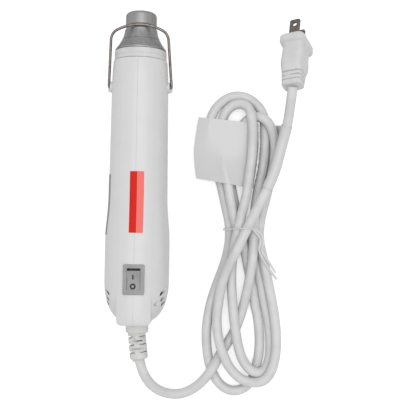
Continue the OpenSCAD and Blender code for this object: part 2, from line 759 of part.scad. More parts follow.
// Points of the bail's wire, from one pin to the other, in its own plane
bail_top_half = bail_half_w - bail_neck - bail_corner_r;
bail_foot = 1.2;
function bail_side(s) = concat(
    [for (a = [0:30:90]) [s * (bail_half_w - bail_foot * (1 - sin(a))), bail_foot * (1 - cos(a))]],
    [for (a = [0:18:90]) [s * (bail_top_half + bail_corner_r * cos(a)),
        bail_len - bail_bow - bail_corner_r * (1 - sin(a))]]);
function reversed(list) = [for (i = [len(list) - 1:-1:0]) list[i]];
bail_points = concat(bail_side(-1), [[-bail_top_half / 2, bail_len - bail_bow / 4], [0, bail_len],
    [bail_top_half / 2, bail_len - bail_bow / 4]], reversed(bail_side(1)));
module bail() {
    color("dimgray") lay_tool() translate([0, 0, pivot_z]) rotate([bail_rest, 0, 0]) {
        sweep_tube([for (p = bail_points) [p[0], 0, p[1]]], wire_r, 12, [0, 1, 0]);
        for (s = [-1, 1]) translate([s * (bail_half_w - pin_depth), 0, 0]) rotate([0, s * 90, 0])
            cylinder(h = pin_depth - bail_foot + merge, r = wire_r);
    }
}

// A sticker bent to the body: the part of a thin shell inside a box
module skin_patch(z, len, offset_r) {
    intersection() {
        rotate_extrude() polygon(concat(
            [for (k = [0:6]) let (s = z + len * k / 6) [body_r(s) + offset_r + sticker_t, s]],
            [for (k = [6:-1:0]) let (s = z + len * k / 6) [body_r(s) + offset_r, s]]));
        children();
    }
}

sticker_z = 64.3;
sticker_x = 0.95;
module front_sticker() {
    color("crimson") lay_tool() skin_patch(sticker_z, sticker_len, band_rise + run_gap)
        translate([sticker_x - sticker_w / 2, -40, 0]) cube([sticker_w, 40, housing_len]);
}

panel_z = 61.6;
module side_panel() {
    color("gray") lay_tool() skin_patch(panel_z, panel_len, run_gap)
        translate([-40, -panel_h / 2, 0]) cube([40, panel_h, housing_len]);
}

// A smooth route through hand-chosen points, with steps points for each span
function spline(a, b, c, d, t) = 0.5 * (2 * b + (c - a) * t + (2 * a - 5 * b + 4 * c - d) * t * t
    + (3 * b - a - 3 * c + d) * t * t * t);
function smooth(p, steps) = concat([for (i = [0:len(p) - 2], j = [0:steps - 1])
    spline(p[max(i - 1, 0)], p[i], p[i + 1], p[min(i + 2, len(p) - 1)], j / steps)], [p[len(p) - 1]]);
function route_len(p) = len(p) < 2 ? 0 : [for (i = 0, s = 0; i < len(p); i = i + 1,
    s = s + (i < len(p) ? norm(p[i] - p[i - 1]) : 0)) s][len(p) - 1];

// A free stretch: smooth between straight ends that meet their neighbours squarely
function free_route(p) = concat([p[0]], smooth([for (i = [1:len(p) - 2]) p[i]], 2), [p[len(p) - 1]]);

// Hank: loops that spiral in and then out, in two layers, drawn in at the waist
hank_x = 78;
hank_top = 44;
hank_bottom = -124;
waist_y = -29;
lobe_r = 12.5;
waist_half = 1.7;
waist_lift = 1.7;
cord_r = cord_d / 2;
turn_rings = 24;
// Half turn at which the spiral reverses, low on a right-hand run
reverse_at = hank_loops + 0.125;
first_half = -0.25;
last_half = 2 * hank_loops - 0.25;
function hank_n(m) = abs(m - reverse_at) / 2;
function climb(m) = let (u = min(1, max(0, (m - reverse_at + 0.125) / 0.25))) u * u * (3 - 2 * u);
function waist(y) = let (u = (y - waist_y) / (y > waist_y ? hank_top - waist_y : waist_y - hank_bottom))
    abs(u) >= 1 ? 0 : (1 + cos(180 * u)) / 2;
function run_w(y) = lobe_r + (waist_half - lobe_r) * waist(y);
function run_slope(y) = (run_w(y + 0.5) - run_w(y - 0.5));
// Point of the hank at half turn m: a run is m -0.25 to 0.25, an arc the rest
function hank_point(m) = let (h = floor(m + 0.25), u = m + 0.25 - h, s = h % 2 == 0 ? 1 : -1,
    n = hank_n(m), lift = cord_r + layer_rise * climb(m))
    u < 0.5
    ? let (t = 2 * u, y0 = s > 0 ? hank_bottom : hank_top, y1 = s > 0 ? hank_top : hank_bottom,
        y = t < 0.5 ? y0 + (waist_y - y0) * 2 * t : waist_y + (y1 - waist_y) * (2 * t - 1),
        w = run_w(y), k = run_slope(y), step = hank_step + (waist_step - hank_step) * waist(y),
        q = n * step / sqrt(1 + k * k))
        [hank_x - s * (w + q), y - k * q, lift + waist_lift * waist(y) * waist(y)]
    : let (a = 360 * (u - 0.5), r = lobe_r + n * hank_step, y0 = s > 0 ? hank_top : hank_bottom)
        [hank_x - s * r * cos(a), y0 + s * r * sin(a), lift];
hank_route = concat([hank_point(first_half) - [0, cord_d, 0]],
    [for (i = [0:hank_loops * turn_rings]) hank_point(first_half + i * 2 / turn_rings)],
    [hank_point(last_half) + [0, cord_d, 0]]);

// Least distance between the hank and itself, between points that are not neighbours
self_gap = min([for (i = [0:len(hank_route) - 2], j = [i + 5:1:len(hank_route) - 2])
    let (p = hank_route[i], q = hank_route[i + 1], a = hank_route[j], b = hank_route[j + 1])
    min([for (u = [0, 0.5], v = [0, 0.5]) norm(p + (q - p) * u - a - (b - a) * v)])]) - cord_d;
echo(hank_self_gap = self_gap, hank_length = route_len(hank_route));

// Free stretches of the lead, along points chosen by hand
lead_start = laid(0) + [0, relief_bend_z * cos(tool_tilt), -relief_bend_z * sin(tool_tilt)]
    + rib_zone * [sin(relief_lean), -cos(relief_lean), sin(tool_tilt)];
lead_out = unit([sin(relief_lean), -cos(relief_lean), 0]);
hank_start = hank_route[0];
hank_end = hank_route[len(hank_route) - 1];
cord_lead_points = concat([lead_start + seat_gap * lead_out, lead_start + 3 * lead_out],
    [[5, -138, 23.5], [8.5, -145, 20.5], [13.5, -150.5, 16], [19.5, -153.5, 11.5], [26, -155, 7.5],
    [33, -155, 5], [40, -152, 4], [46.5, -147.5, 3.6], [50, -142, 3.6]],
    [hank_start - [0, 3, 0], hank_start - [0, seat_gap, 0]]);

// Plug, with its axis dipping to the blades and its blades one above the other
plug_at = [111.7, 74.4, 22.2];
plug_pitch = 14;
plug_yaw = 3.3;
plug_roll = -117;
plug_back = [-sin(plug_yaw) * cos(plug_pitch), -cos(plug_yaw) * cos(plug_pitch), sin(plug_pitch)];
plug_lead_points = concat([hank_end + [0, seat_gap, 0], hank_end + [0, 5, 0]],
    [[56.5, -104, 13.4], [58.5, -92, 16.5], [61, -80, 19], [64.5, -66, 20.8], [70, -50, 21.8],
    [76.5, -36, 22], [83, -22, 21.6], [89.5, -9, 20.8], [96, 3, 19], [101, 15, 17.2], [104.5, 29, 16],
    [107, 42, 17.6], [109.5, 54, 21.2]],
    [plug_at + 9 * plug_back, plug_at + seat_gap * plug_back]);
module cord_lead() {
    color("white") sweep_tube(free_route(cord_lead_points), cord_r, 8);
}
module cord_hank() {
    color("white") sweep_tube(hank_route, cord_r, 6);
}
module plug_lead() {
    color("white") sweep_tube(free_route(plug_lead_points), cord_r, 8);
}
echo(free_lengths = [route_len(free_route(cord_lead_points)), route_len(free_route(plug_lead_points))]);

module place_plug() {
    translate(plug_at) rotate([-plug_pitch, 0, -plug_yaw]) rotate([-90, 0, 0])
        rotate([0, 0, plug_roll]) children();
}

// Plug body: flat ribbed neck, grip and a flange with round corners
flange_t_plug = 5;
grip_len = 15;
neck_len = plug_len - grip_len - flange_t_plug;
neck_rear = [9.6, 13.4];
neck_front = [13.6, 14];
neck_core = [7.6, 11];
neck_corner = 2.6;
neck_rear_len = 5;
plug_ribs = 3;
plug_groove = 1.2;
plug_rib_step = (neck_len - neck_rear_len) / plug_ribs;
module rounded_plate(h, w, t, r) {
    linear_extrude(t) union() {
        square([h - 2 * r, w], center = true);
        square([h, w - 2 * r], center = true);
        for (x = [r - h / 2, h / 2 - r], y = [r - w / 2, w / 2 - r]) translate([x, y]) circle(r = r);
    }
}
module blade_slot(x, w) {
    translate([x, 0, plug_len]) cube([blade_t, w, 2 * blade_root] + 2 * run_gap * [1, 1, 1], center = true);
}
module plug_body() {
    color("white") place_plug() difference() {
        union() {
            rounded_plate(neck_core[0], neck_core[1], neck_len + 1, neck_corner - 1);
            rounded_plate(neck_rear[0], neck_rear[1], neck_rear_len - plug_groove, neck_corner);
            for (i = [0:plug_ribs - 1]) {
                size = neck_rear + (neck_front - neck_rear) * (i + 0.5) / plug_ribs;
                translate([0, 0, neck_rear_len + plug_rib_step * i])
                    rounded_plate(size[0], size[1], plug_rib_step - plug_groove, neck_corner);
            }
            translate([0, 0, neck_len]) rounded_plate(plug_flange_h - 6, plug_flange_w - 4, grip_len + 1, 4);
            translate([0, 0, plug_len - flange_t_plug])
                rounded_plate(plug_flange_h, plug_flange_w, flange_t_plug, 5);
        }
        blade_slot(blade_half, wide_blade);
        blade_slot(-blade_half, narrow_blade);
    }
}

// Blades, the wide one on top, each with a round hole and a bevelled tip
blade_half = 6.35;
blade_root = 5;
blade_hole_r = 1.5;
module blade(w) {
    difference() {
        translate([-blade_t / 2, -w / 2, plug_len - blade_root]) cube([blade_t, w, blade_len + blade_root]);
        translate([-5, 0, plug_len + blade_len - 5]) rotate([0, 90, 0]) cylinder(h = 10, r = blade_hole_r);
        for (s = [-1, 1]) translate([0, s * w / 2, plug_len + blade_len]) rotate([45, 0, 0])
            cube([10, 1.6, 1.6], center = true);
    }
}
module plug_blades() {
    color("tan") place_plug() {
        translate([blade_half, 0, 0]) blade(wide_blade);
        translate([-blade_half, 0, 0]) blade(narrow_blade);
    }
}

// Tag: a sheet that goes round the plug lead and out over the hank to the left
tag_t = 0.6;
tag_loop_r = cord_r + 0.5;
tag_left = 43;
tag_turn = 12;
tag_stations = [3, 11, 19, 27, 35, 43, 51];
tag_rest = cord_d + layer_rise + waist_lift * pow(waist(tag_stations[0]), 2) + rest_gap + tag_t;
// Height of the plug lead over a place of the table, from its own route
function lead_height(y) = let (r = free_route(plug_lead_points),
    k = max([for (i = [0:len(r) - 2]) r[i][1] <= y ? i : 0]))
    r[k] + (r[k + 1] - r[k]) * (y - r[k][1]) / (r[k + 1][1] - r[k][1]);
// The sheet's two faces at height y: flat over the hank, then once round the lead
function tag_line(y, r, flat) = let (c = lead_height(y))
    concat([for (f = [0:4]) [tag_left + (c[0] - 9 - tag_left) * f / 4, y, flat]],
        [for (k = [0:tag_turn]) let (a = 150 - 300 * k / tag_turn)
            [c[0] + r * cos(a), y, c[2] + r * sin(a)]]);
module cord_tag() {
    top = [for (y = tag_stations) tag_line(y, tag_loop_r + tag_t, tag_rest + tag_t / 2)];
    low = [for (y = tag_stations) tag_line(y, tag_loop_r, tag_rest - tag_t / 2)];
    rows = len(top);
    n = len(top[0]);
    z = rows * n;
    function pair(a, b, c, d) = [[a, b, c], [a, c, d]];
    function at(i, k) = i * n + k;
    color("white") polyhedron(points = concat([for (r = top) each r], [for (r = low) each r]),
        faces = concat(
            [for (i = [0:rows - 2], k = [0:n - 2]) each
                pair(at(i, k), at(i + 1, k), at(i + 1, k + 1), at(i, k + 1))],
            [for (i = [0:rows - 2], k = [0:n - 2]) each
                pair(z + at(i, k), z + at(i, k + 1), z + at(i + 1, k + 1), z + at(i + 1, k))],
            [for (k = [0:n - 2]) each pair(at(0, k), at(0, k + 1), z + at(0, k + 1), z + at(0, k))],
            [for (k = [0:n - 2]) each pair(at(rows - 1, k), z + at(rows - 1, k),
                z + at(rows - 1, k + 1), at(rows - 1, k + 1))],
            [for (i = [0:rows - 2]) each pair(at(i, 0), z + at(i, 0), z + at(i + 1, 0), at(i + 1, 0))],
            [for (i = [0:rows - 2]) each pair(at(i, n - 1), at(i + 1, n - 1),
                z + at(i + 1, n - 1), z + at(i, n - 1))]),
        convexity = 10);
}

// Twist tie: a ring round the waist, with its twisted tail at the right
tie_r = tie_d / 2;
tie_gap = rest_gap + tie_r;
tie_left = hank_x - waist_half - hank_n(0) * waist_step - cord_r - tie_gap;
tie_right = hank_x + waist_half + hank_n(1) * waist_step + cord_r + tie_gap;
tie_low = waist_lift - tie_gap;
tie_high = 22 + cord_r + tie_gap;
tie_y = waist_y;
tie_side_h = 17;
tie_bevel = 4;
module tie_outline(grow) {
    polygon([[tie_left - grow, tie_low + 2], [tie_left + 2, tie_low - grow],
        [tie_right - 2, tie_low - grow], [tie_right + grow, tie_low + 2], [tie_right + grow, tie_side_h],
        [hank_x + tie_bevel + grow, tie_high + grow], [hank_x - tie_bevel - grow, tie_high + grow],
        [tie_left - grow, tie_side_h]]);
}
module twist_tie() {
    color("white") union() {
        translate([0, tie_y + tie_r, 0]) rotate([90, 0, 0]) linear_extrude(tie_d) difference() {
            tie_outline(tie_r);
            tie_outline(-tie_r);
        }
        sweep_tube([[tie_right, tie_y, tie_side_h], [tie_right + 2, tie_y - 6, tie_side_h - 3],
            [tie_right + 4, tie_y - 18, 8], [tie_right + 9, tie_y - 36, 1.2]], tie_d * 0.7, 6);
    }
}

left_housing();
right_housing();
housing_screws();
front_ring();
nozzle();
heat_shield();
mica_sleeve();
mica_former();
heating_coil();
thermal_cutoff();
heater_leads();
fan_duct();
motor_can();
motor_shaft();
impeller();
motor_leads();
rectifier_board();
rectifier_diodes();
switch_frame();
rocker();
switch_terminals();
supply_leads();
strain_relief();
inner_cord();
cord_clamp();
clamp_screws();
bail();
front_sticker();
side_panel();
cord_lead();
cord_hank();
plug_lead();
plug_body();
plug_blades();
cord_tag();
twist_tie();
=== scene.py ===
"""Looks of an embossing heat tool that lies on its back beside its tied mains lead.

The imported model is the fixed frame. Lengths are millimetres, times MM where a mesh is made.
The tool's own pieces are made along its axis, with Z from the cord end to the nozzle and the
switch at -Y, and LAY turns them down on to the table.
"""
import json
import math

import bpy
import numpy as np
from mathutils import Matrix, Vector


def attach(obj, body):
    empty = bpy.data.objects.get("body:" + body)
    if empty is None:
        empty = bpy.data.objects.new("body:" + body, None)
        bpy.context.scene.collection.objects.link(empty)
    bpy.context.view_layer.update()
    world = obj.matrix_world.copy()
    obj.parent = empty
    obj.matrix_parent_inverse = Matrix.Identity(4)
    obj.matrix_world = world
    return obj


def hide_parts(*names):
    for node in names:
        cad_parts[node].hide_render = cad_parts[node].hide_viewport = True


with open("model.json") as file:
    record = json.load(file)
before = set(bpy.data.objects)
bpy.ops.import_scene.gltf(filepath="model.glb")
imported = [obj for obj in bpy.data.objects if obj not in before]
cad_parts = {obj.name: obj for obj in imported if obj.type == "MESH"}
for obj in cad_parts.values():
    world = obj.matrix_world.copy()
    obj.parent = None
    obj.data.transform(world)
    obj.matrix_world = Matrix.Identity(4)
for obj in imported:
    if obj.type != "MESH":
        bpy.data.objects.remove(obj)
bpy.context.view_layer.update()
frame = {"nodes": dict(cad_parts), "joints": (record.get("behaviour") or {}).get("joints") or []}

MM = 0.001

# Camera straight above the table, a little turned, as in the photograph
CAMERA_AT = (50.87, -14.7, 549)
CAMERA_TURN = 0.9
SENSOR = 36
LENS = 62.57


def add_camera():
    """The camera, which looks straight down."""
    lens = bpy.data.cameras.new("camera")
    lens.sensor_width = SENSOR
    lens.lens = LENS
    lens.clip_start = 0.01
    camera = bpy.data.objects.new("camera", lens)
    camera.location = Vector(CAMERA_AT) * MM
    camera.rotation_euler = (0, 0, math.radians(CAMERA_TURN))
    bpy.context.scene.collection.objects.link(camera)
    bpy.context.scene.camera = camera


add_camera()

# The mains lead's route, as given points from the strain relief to the plug
CORD_D = 7.2
CORD_R = CORD_D / 2
RELIEF_EXIT = (2.8, -124.5, 25.7)
LEAD_ROUTE = [
    (3.4, -128.2, 25.4), (4.7, -132.6, 24.5), (6.7, -137.8, 23), (10.6, -144.2, 20),
    (15.2, -149, 16), (20.4, -152.4, 11.5), (26.6, -154.6, 7.5), (33.5, -155.2, 4.5)]
HANK_ROUTE = [
    # Under the hank's low loops and up its right side
    (39.5, -152.5, 5.5), (45.5, -148, 8), (51.5, -141.5, 10.5), (56.5, -132.5, 10.5),
    (60.5, -126.5, 9), (65.5, -119, 7), (69.5, -112.5, 5), (74, -104, 4), (77, -94.5, 4),
    (80, -82.5, 5), (82.5, -68, 8), (84, -53, 10.5), (85, -38.5, 11), (85.5, -29, 11),
    (86.5, -12, 11), (88.5, 0.5, 11), (91, 10.5, 10), (92.5, 21.5, 9), (93, 32, 8), (93, 44, 7),
    (92, 54.5, 6), (88.5, 62.5, 5),
    # Outer arc, and down the left side
    (81.5, 68.5, 3.6), (72.5, 71, 3.6), (63, 68, 3.6), (55, 61, 3.6), (51, 51, 3.6),
    (51, 36.5, 3.6), (53.5, 21.5, 3.6), (59.5, 6.5, 3.6), (64.5, -8.5, 3.6), (67, -20.5, 3.6),
    (67.5, -29.5, 3.6), (68, -37, 3.6), (65, -53.5, 3.6), (59.5, -69, 3.6), (54.5, -84, 3.6),
    (51.5, -99, 3.6), (51, -115, 3.6), (53.3, -130.5, 3.6), (57.8, -143, 3.6),
    (64.5, -150.8, 3.6), (72.5, -153.4, 3.6), (81, -150.8, 3.6), (86.2, -144.6, 3.6),
    # Up again, across the waist to the inner arc
    (89.6, -133.4, 3.6), (91.5, -117.5, 3.6), (90.5, -102.5, 3.6), (87.5, -83.5, 3.6),
    (83.5, -64.5, 4), (80, -47.5, 6), (76, -35, 9), (71.5, -25, 10.5), (69, -16, 9),
    (67, -4.5, 8), (65, 8, 8), (61, 21.5, 7), (59.5, 36.5, 6), (60, 51, 4), (64, 61, 3.8),
    (72.5, 65.5, 4), (80, 62.5, 6),
    # Down in front of the tag, the topmost strand
    (83, 54.5, 10), (83.5, 42, 14), (83.5, 26.5, 17), (81.5, 11, 18), (79.5, -4.5, 18),
    (75, -21.5, 18), (73.5, -30, 18), (72, -36.5, 17), (70, -49, 15), (69, -64, 13),
    (70, -82.5, 12), (71.5, -96, 12), (73.5, -111, 12), (77.8, -127.6, 11.5), (83.4, -135.4, 11),
    (90.4, -139, 10.5), (97, -135.4, 9),
    # Up to the short arc under the tag, and down
    (99.4, -126, 6), (99.6, -111, 4), (97.3, -97, 3.6), (93.8, -83.5, 3.6), (89.5, -64.5, 3.6),
    (84.5, -47.5, 3.6), (78.5, -32.5, 3.6), (72, -19.5, 3.6), (68.5, -4.5, 3.6),
    (67, 10.5, 3.6), (67.5, 22, 3.6), (69.5, 33, 3.6), (73, 44, 3.6), (78.5, 52.5, 4),
    (85.5, 56, 5), (92.6, 53.2, 9), (98, 45.2, 11), (100.8, 34.5, 11), (100.3, 21, 10.5),
    (97.8, 9, 10.5), (95.6, -2, 10.5), (93.5, -11, 10.5), (90.5, -21, 10.5), (89, -31, 10.5),
    (89.8, -40, 10), (92, -50, 9.5), (95.3, -65, 9), (99.5, -82.5, 10.5), (102.5, -101, 11),
    (103.5, -116, 11),
    # Round the bottom and up to the front of the waist
    (102, -130.2, 11), (96, -140.8, 11.5), (86.5, -145, 12), (76.5, -141.9, 12.5),
    (68.3, -133.4, 14), (62.4, -120.5, 15.5), (59, -106.5, 14), (58.5, -94, 12.5),
    (60.5, -80.5, 12.5), (62.5, -67.5, 16)]
PLUG_AT = (110.1, 72.9, 31.8)
PLUG_ROUTE = [
    (70, -50, 21.8), (76.5, -36, 22), (83, -22, 21.6), (89.5, -9, 20.8), (95.5, 3, 19.2),
    (100.2, 15, 17.8), (103.6, 29, 17.6), (106.8, 42, 20.4), (108.2, 50, 23.6),
    (109.1, 60.6, 28.6), (109.6, 67.5, 31.2), PLUG_AT]

# The lead's line: spacing of its points, steps between given points, and rounds of easing
ROUTE_STEP = 2.5
CURVE_STEPS = 12
ROUTE_EASE = 8

# How the tied lead comes to rest, round by round, and the least space between its strands
SETTLE_ROUNDS = 400
SETTLE_SAG = 0.02
SETTLE_LEVEL = 0.5
SETTLE_STRAIGHTEN = 0.3
SETTLE_HOLD = 0.12
SETTLE_NEAR = 6
CORD_SPACE = 7.35

# Smoothing steps in pairs: the second gives the loops their size back
SMOOTH_ROUNDS = 10
SMOOTH_STEPS = (0.5, -0.52)

# Where the tie passes under the hank, and the room that the lead leaves it
TIE_Y = -29.3
TIE_ROOM = 1.65
TIE_SPREAD = 7


def even_route(points, step):
    """Points at even steps along the smooth curve through the given points, eased a little."""
    given = np.array(points, float)
    padded = np.vstack([2 * given[0] - given[1], given, 2 * given[-1] - given[-2]])
    fine = []
    for a, b, c, d in zip(padded, padded[1:], padded[2:], padded[3:]):
        for t in np.linspace(0, 1, CURVE_STEPS, endpoint=False):
            fine.append(0.5 * (2 * b + (c - a) * t + (2 * a - 5 * b + 4 * c - d) * t * t
                               + (3 * b - a - 3 * c + d) * t ** 3))
    fine = np.array(fine + [given[-1]])
    run = np.concatenate([[0], np.cumsum(np.linalg.norm(np.diff(fine, axis=0), axis=1))])
    even = np.linspace(0, run[-1], round(run[-1] / step) + 1)
    route = np.stack([np.interp(even, run, fine[:, k]) for k in range(3)], axis=1)
    for turn in range(ROUTE_EASE):
        route[1:-1] += (route[:-2] + route[2:] - 2 * route[1:-1]) / 4
    return route


def bed(route):
    """How low the lead's centre can come: it lies on the table, or on the tie that passes under it."""
    return CORD_R + TIE_ROOM * np.exp(-((route[:, 1] - TIE_Y) / TIE_SPREAD) ** 2)


def settle(route, first, last):
    """Lets the points between first and last come to rest: they sag, lie on the table and on
    each other a diameter apart, and keep near their place seen from above. Then the whole line
    is smoothed."""
    rest = route.copy()
    plan = route[:, :2].copy()
    index = np.arange(len(route))
    apart = np.triu(np.abs(index[:, None] - index[None, :]) >= SETTLE_NEAR)
    free = (index > first) & (index < last)
    for turn in range(SETTLE_ROUNDS):
        rest[free, 2] -= SETTLE_SAG
        bend = np.zeros_like(rest)
        bend[1:-1] = (rest[:-2] + rest[2:]) / 2 - rest[1:-1]
        rest[free, 2] += SETTLE_LEVEL * bend[free, 2]
        rest[free, :2] += (SETTLE_STRAIGHTEN * bend[free, :2]
                           + SETTLE_HOLD * (plan[free] - rest[free, :2]))
        gap = rest[None, :, :] - rest[:, None, :]
        far = np.linalg.norm(gap, axis=2)
        one, two = np.nonzero(apart & (far < CORD_SPACE))
        push = (CORD_SPACE - far[one, two])[:, None] * gap[one, two] / far[one, two][:, None]
        moved = np.zeros_like(rest)
        count = np.zeros(len(rest))
        np.add.at(moved, one, -push / 2)
        np.add.at(moved, two, push / 2)
        np.add.at(count, one, 1)
        np.add.at(count, two, 1)
        moved /= np.maximum(count, 1)[:, None]
        rest[free] += moved[free]
        rest[:, 2] = np.maximum(rest[:, 2], bed(rest))
    for turn in range(SMOOTH_ROUNDS):
        for share in SMOOTH_STEPS:
            bend = (rest[:-2] + rest[2:]) / 2 - rest[1:-1]
            rest[1:-1] += share * bend
        rest[:, 2] = np.maximum(rest[:, 2], bed(rest))
    return rest


def cord_curve(name, route, radius):
    """A round cord or wire: a curve of one open spline along a route."""
    curve = bpy.data.curves.new(name, "CURVE")
    curve.dimensions = "3D"
    spline = curve.splines.new("POLY")
    spline.points.add(len(route) - 1)
    for point, place in zip(spline.points, route):
        point.co = (*(Vector(place) * MM), 1)
    curve.bevel_depth = radius * MM
    curve.bevel_resolution = 6
    curve.use_fill_caps = True
    spline.use_smooth = True
    piece = bpy.data.objects.new(name, curve)
    bpy.context.scene.collection.objects.link(piece)
    return piece


# Driving sizes: places along the tool's axis, from the cord end
LENGTH = 187.5
DOME = 28
BULGE_END = 54
GRIP = 90
SHOULDER = 163
SWITCH_Z = 31.7
FAN_Z = 90
PIVOT_Z = 169.3
RING_Z = 195

# Radii and walls of the housing
REAR_R = 23.3
GRIP_R = 21.2
SHOULDER_R = 20.5
FRONT_R = 19.6
DOME_TIP_R = 9
WALL = 2
REAR_WALL = 2.2

# The raised band: half its width, how far it stands out, its ends and its edge
BAND_HALF = 12
BAND_RISE = 0.35
BAND_DOME = 16
BAND_TIP_R = 22.2
BAND_EDGE = 1.6
BAND_REAR = -1.5
BAND_FRONT = 183.5
BAND_CORNER = 3

# Height of the switch's bezel and of the pad under it, from the axis
SWITCH_TOP = 24.15
PAD_H = 22.65

# The axis of the tool on the table, worked out from the joint of its fan
fan = next(joint for joint in frame["joints"] if joint["name"] == "fan_spin")
AXIS = Vector(fan["axis"])
TILT = math.asin(-AXIS.z)
AXIS_START = Vector(fan["pos_m"]) - AXIS * FAN_Z * MM
LAY = Matrix.Translation(AXIS_START) @ Matrix.Rotation(-math.pi / 2 - TILT, 4, "X")
SIZE_DOWN = Matrix.Scale(MM, 4)
STAND_UP = Matrix.Rotation(math.pi / 2, 4, "X")


def dome_r(z, length, tip):
    """Radius of a dome's side at z, from its blunt tip to the even stretch."""
    return tip + (REAR_R - tip) * math.sqrt(1 - ((length - z) / length) ** 2)


def body_r(z):
    """Radius of the round body at z."""
    if z < DOME:
        return dome_r(z, DOME, DOME_TIP_R)
    if z < BULGE_END:
        return REAR_R
    if z < GRIP:
        share = (z - BULGE_END) / (GRIP - BULGE_END)
        return REAR_R + (GRIP_R - REAR_R) * (1 - math.cos(math.pi * share)) / 2
    if z < SHOULDER:
        return GRIP_R + (SHOULDER_R - GRIP_R) * (z - GRIP) / (SHOULDER - GRIP)
    return SHOULDER_R + (FRONT_R - SHOULDER_R) * ((z - SHOULDER) / (LENGTH - SHOULDER)) ** 2


def band_r(z):
    """Radius of the raised band's face at z, with a blunt rear end."""
    if z > BULGE_END:
        return BAND_RISE + body_r(z)
    slope = dome_r(max(z, 0), BAND_DOME, BAND_TIP_R) if z < BAND_DOME else REAR_R
    inside = max(BAND_REAR + BAND_EDGE - z, 0)
    return BAND_RISE + slope - BAND_EDGE + math.sqrt(BAND_EDGE ** 2 - inside ** 2)


def stations(dome):
    """Places along the housing at which its outline has a point, closest at the rear end."""
    round_end = [dome * (1 - math.cos(math.pi / 2 * i / 18)) for i in range(19)]
    even = [BULGE_END + (GRIP - BULGE_END) * i / 14 for i in range(15)]
    front = [SHOULDER + (LENGTH - SHOULDER) * i / 8 for i in range(9)]
    return round_end + even + front


# Steps that shape a piece
def only(piece):
    """Deselects everything and makes one piece the active one."""
    bpy.ops.object.select_all(action="DESELECT")
    piece.select_set(True)
    bpy.context.view_layer.objects.active = piece


def edit(piece):
    """Opens a piece in edit mode with everything selected."""
    only(piece)
    bpy.ops.object.mode_set(mode="EDIT")
    bpy.ops.mesh.select_mode(type="VERT")
    bpy.ops.mesh.select_all(action="SELECT")


def close_edit():
    """Leaves edit mode, which writes the changes to the mesh."""
    bpy.ops.object.mode_set(mode="OBJECT")


def modify(piece, kind, **settings):
    """Adds a modifier with its settings and applies it."""
    only(piece)
    modifier = piece.modifiers.new(kind.lower(), kind)
    for key, value in settings.items():
        setattr(modifier, key, value)
    bpy.ops.object.modifier_apply(modifier=modifier.name)


def cut(piece, tool, operation="DIFFERENCE"):
    """Cuts a piece with a tool piece, joins them or keeps what they share, and drops the tool."""
    modify(piece, "BOOLEAN", object=tool, operation=operation, solver="EXACT")
    bpy.data.objects.remove(tool)


def soften(piece, width, angle=35, segments=3):
    """Rounds a piece's edges that are sharper than an angle."""
    modify(piece, "BEVEL", width=width, segments=segments, limit_method="ANGLE",
           angle_limit=math.radians(angle), harden_normals=False)


def shade(piece, angle=35):
    """Shades a piece smooth, apart from edges that are sharper than an angle."""
    only(piece)
    bpy.ops.object.shade_smooth_by_angle(angle=math.radians(angle))


def copy(piece, name):
    """A copy of a piece with its own mesh."""
    only(piece)
    bpy.ops.object.duplicate()
    twin = bpy.context.object
    twin.name = name
    return twin


def move(piece, matrix):
    """Moves, turns or scales a piece, with its new place in its mesh."""
    only(piece)
    piece.matrix_world = matrix @ piece.matrix_world
    bpy.ops.object.transform_apply(location=True, rotation=True, scale=True)


def place(piece, matrix):
    """Puts a piece that was made in millimetres where it goes, in metres."""
    move(piece, matrix @ SIZE_DOWN)


def block(name, centre, size):
    """A box with its place in its mesh, as a start or a cutter."""
    bpy.ops.object.select_all(action="DESELECT")
    bpy.ops.mesh.primitive_cube_add(size=1, location=centre)
    piece = bpy.context.object
    piece.name = name
    piece.scale = size
    bpy.ops.object.transform_apply(location=True, rotation=True, scale=True)
    return piece


def rod(name, start, end, radius, sides=32):
    """A closed round rod between two points."""
    bpy.ops.object.select_all(action="DESELECT")
    way = Vector(end) - Vector(start)
    turn = way.to_track_quat("Z", "Y").to_euler()
    bpy.ops.mesh.primitive_cylinder_add(vertices=sides, radius=radius, depth=way.length,
                                        location=(Vector(start) + Vector(end)) / 2, rotation=turn)
    piece = bpy.context.object
    piece.name = name
    bpy.ops.object.transform_apply(location=True, rotation=True, scale=True)
    return piece


def outline(name, points, fill="NOTHING"):
    """A flat closed outline through the given corners."""
    bpy.ops.object.select_all(action="DESELECT")
    bpy.ops.mesh.primitive_circle_add(vertices=len(points), fill_type=fill)
    piece = bpy.context.object
    piece.name = name
    for corner, point in zip(piece.data.vertices, points):
        corner.co = point
    return piece


def turned(name, line, steps=96):
    """A body turned about the tool's axis from a closed line of [radius, z]."""
    piece = outline(name, [(r, 0, z) for r, z in line])
    edit(piece)
    bpy.ops.mesh.spin(steps=steps, angle=2 * math.pi, center=(0, 0, 0), axis=(0, 0, 1))
    bpy.ops.mesh.select_all(action="SELECT")
    bpy.ops.mesh.remove_doubles(threshold=1e-4)
    bpy.ops.mesh.delete_loose(use_verts=True, use_edges=True, use_faces=False)
    bpy.ops.mesh.select_all(action="SELECT")
    bpy.ops.mesh.normals_make_consistent(inside=False)
    close_edit()
    return piece


def arc(centre, radius, start, end, steps):
    """Points of an arc from one angle to another, in degrees."""
    return [(centre[0] + radius * math.cos(math.radians(start + (end - start) * i / steps)),
             centre[1] + radius * math.sin(math.radians(start + (end - start) * i / steps)))
            for i in range(steps + 1)]


def rounded_outline(length, width, corner, z):
    """Points of a rectangle with round corners, length along X and width along Y."""
    x, y = length / 2 - corner, width / 2 - corner
    points = []
    for k, middle in enumerate([(x, y), (-x, y), (-x, -y), (x, -y)]):
        points += arc(middle, corner, 90 * k, 90 * (k + 1), 6)
    return [(a, b, z) for a, b in points]


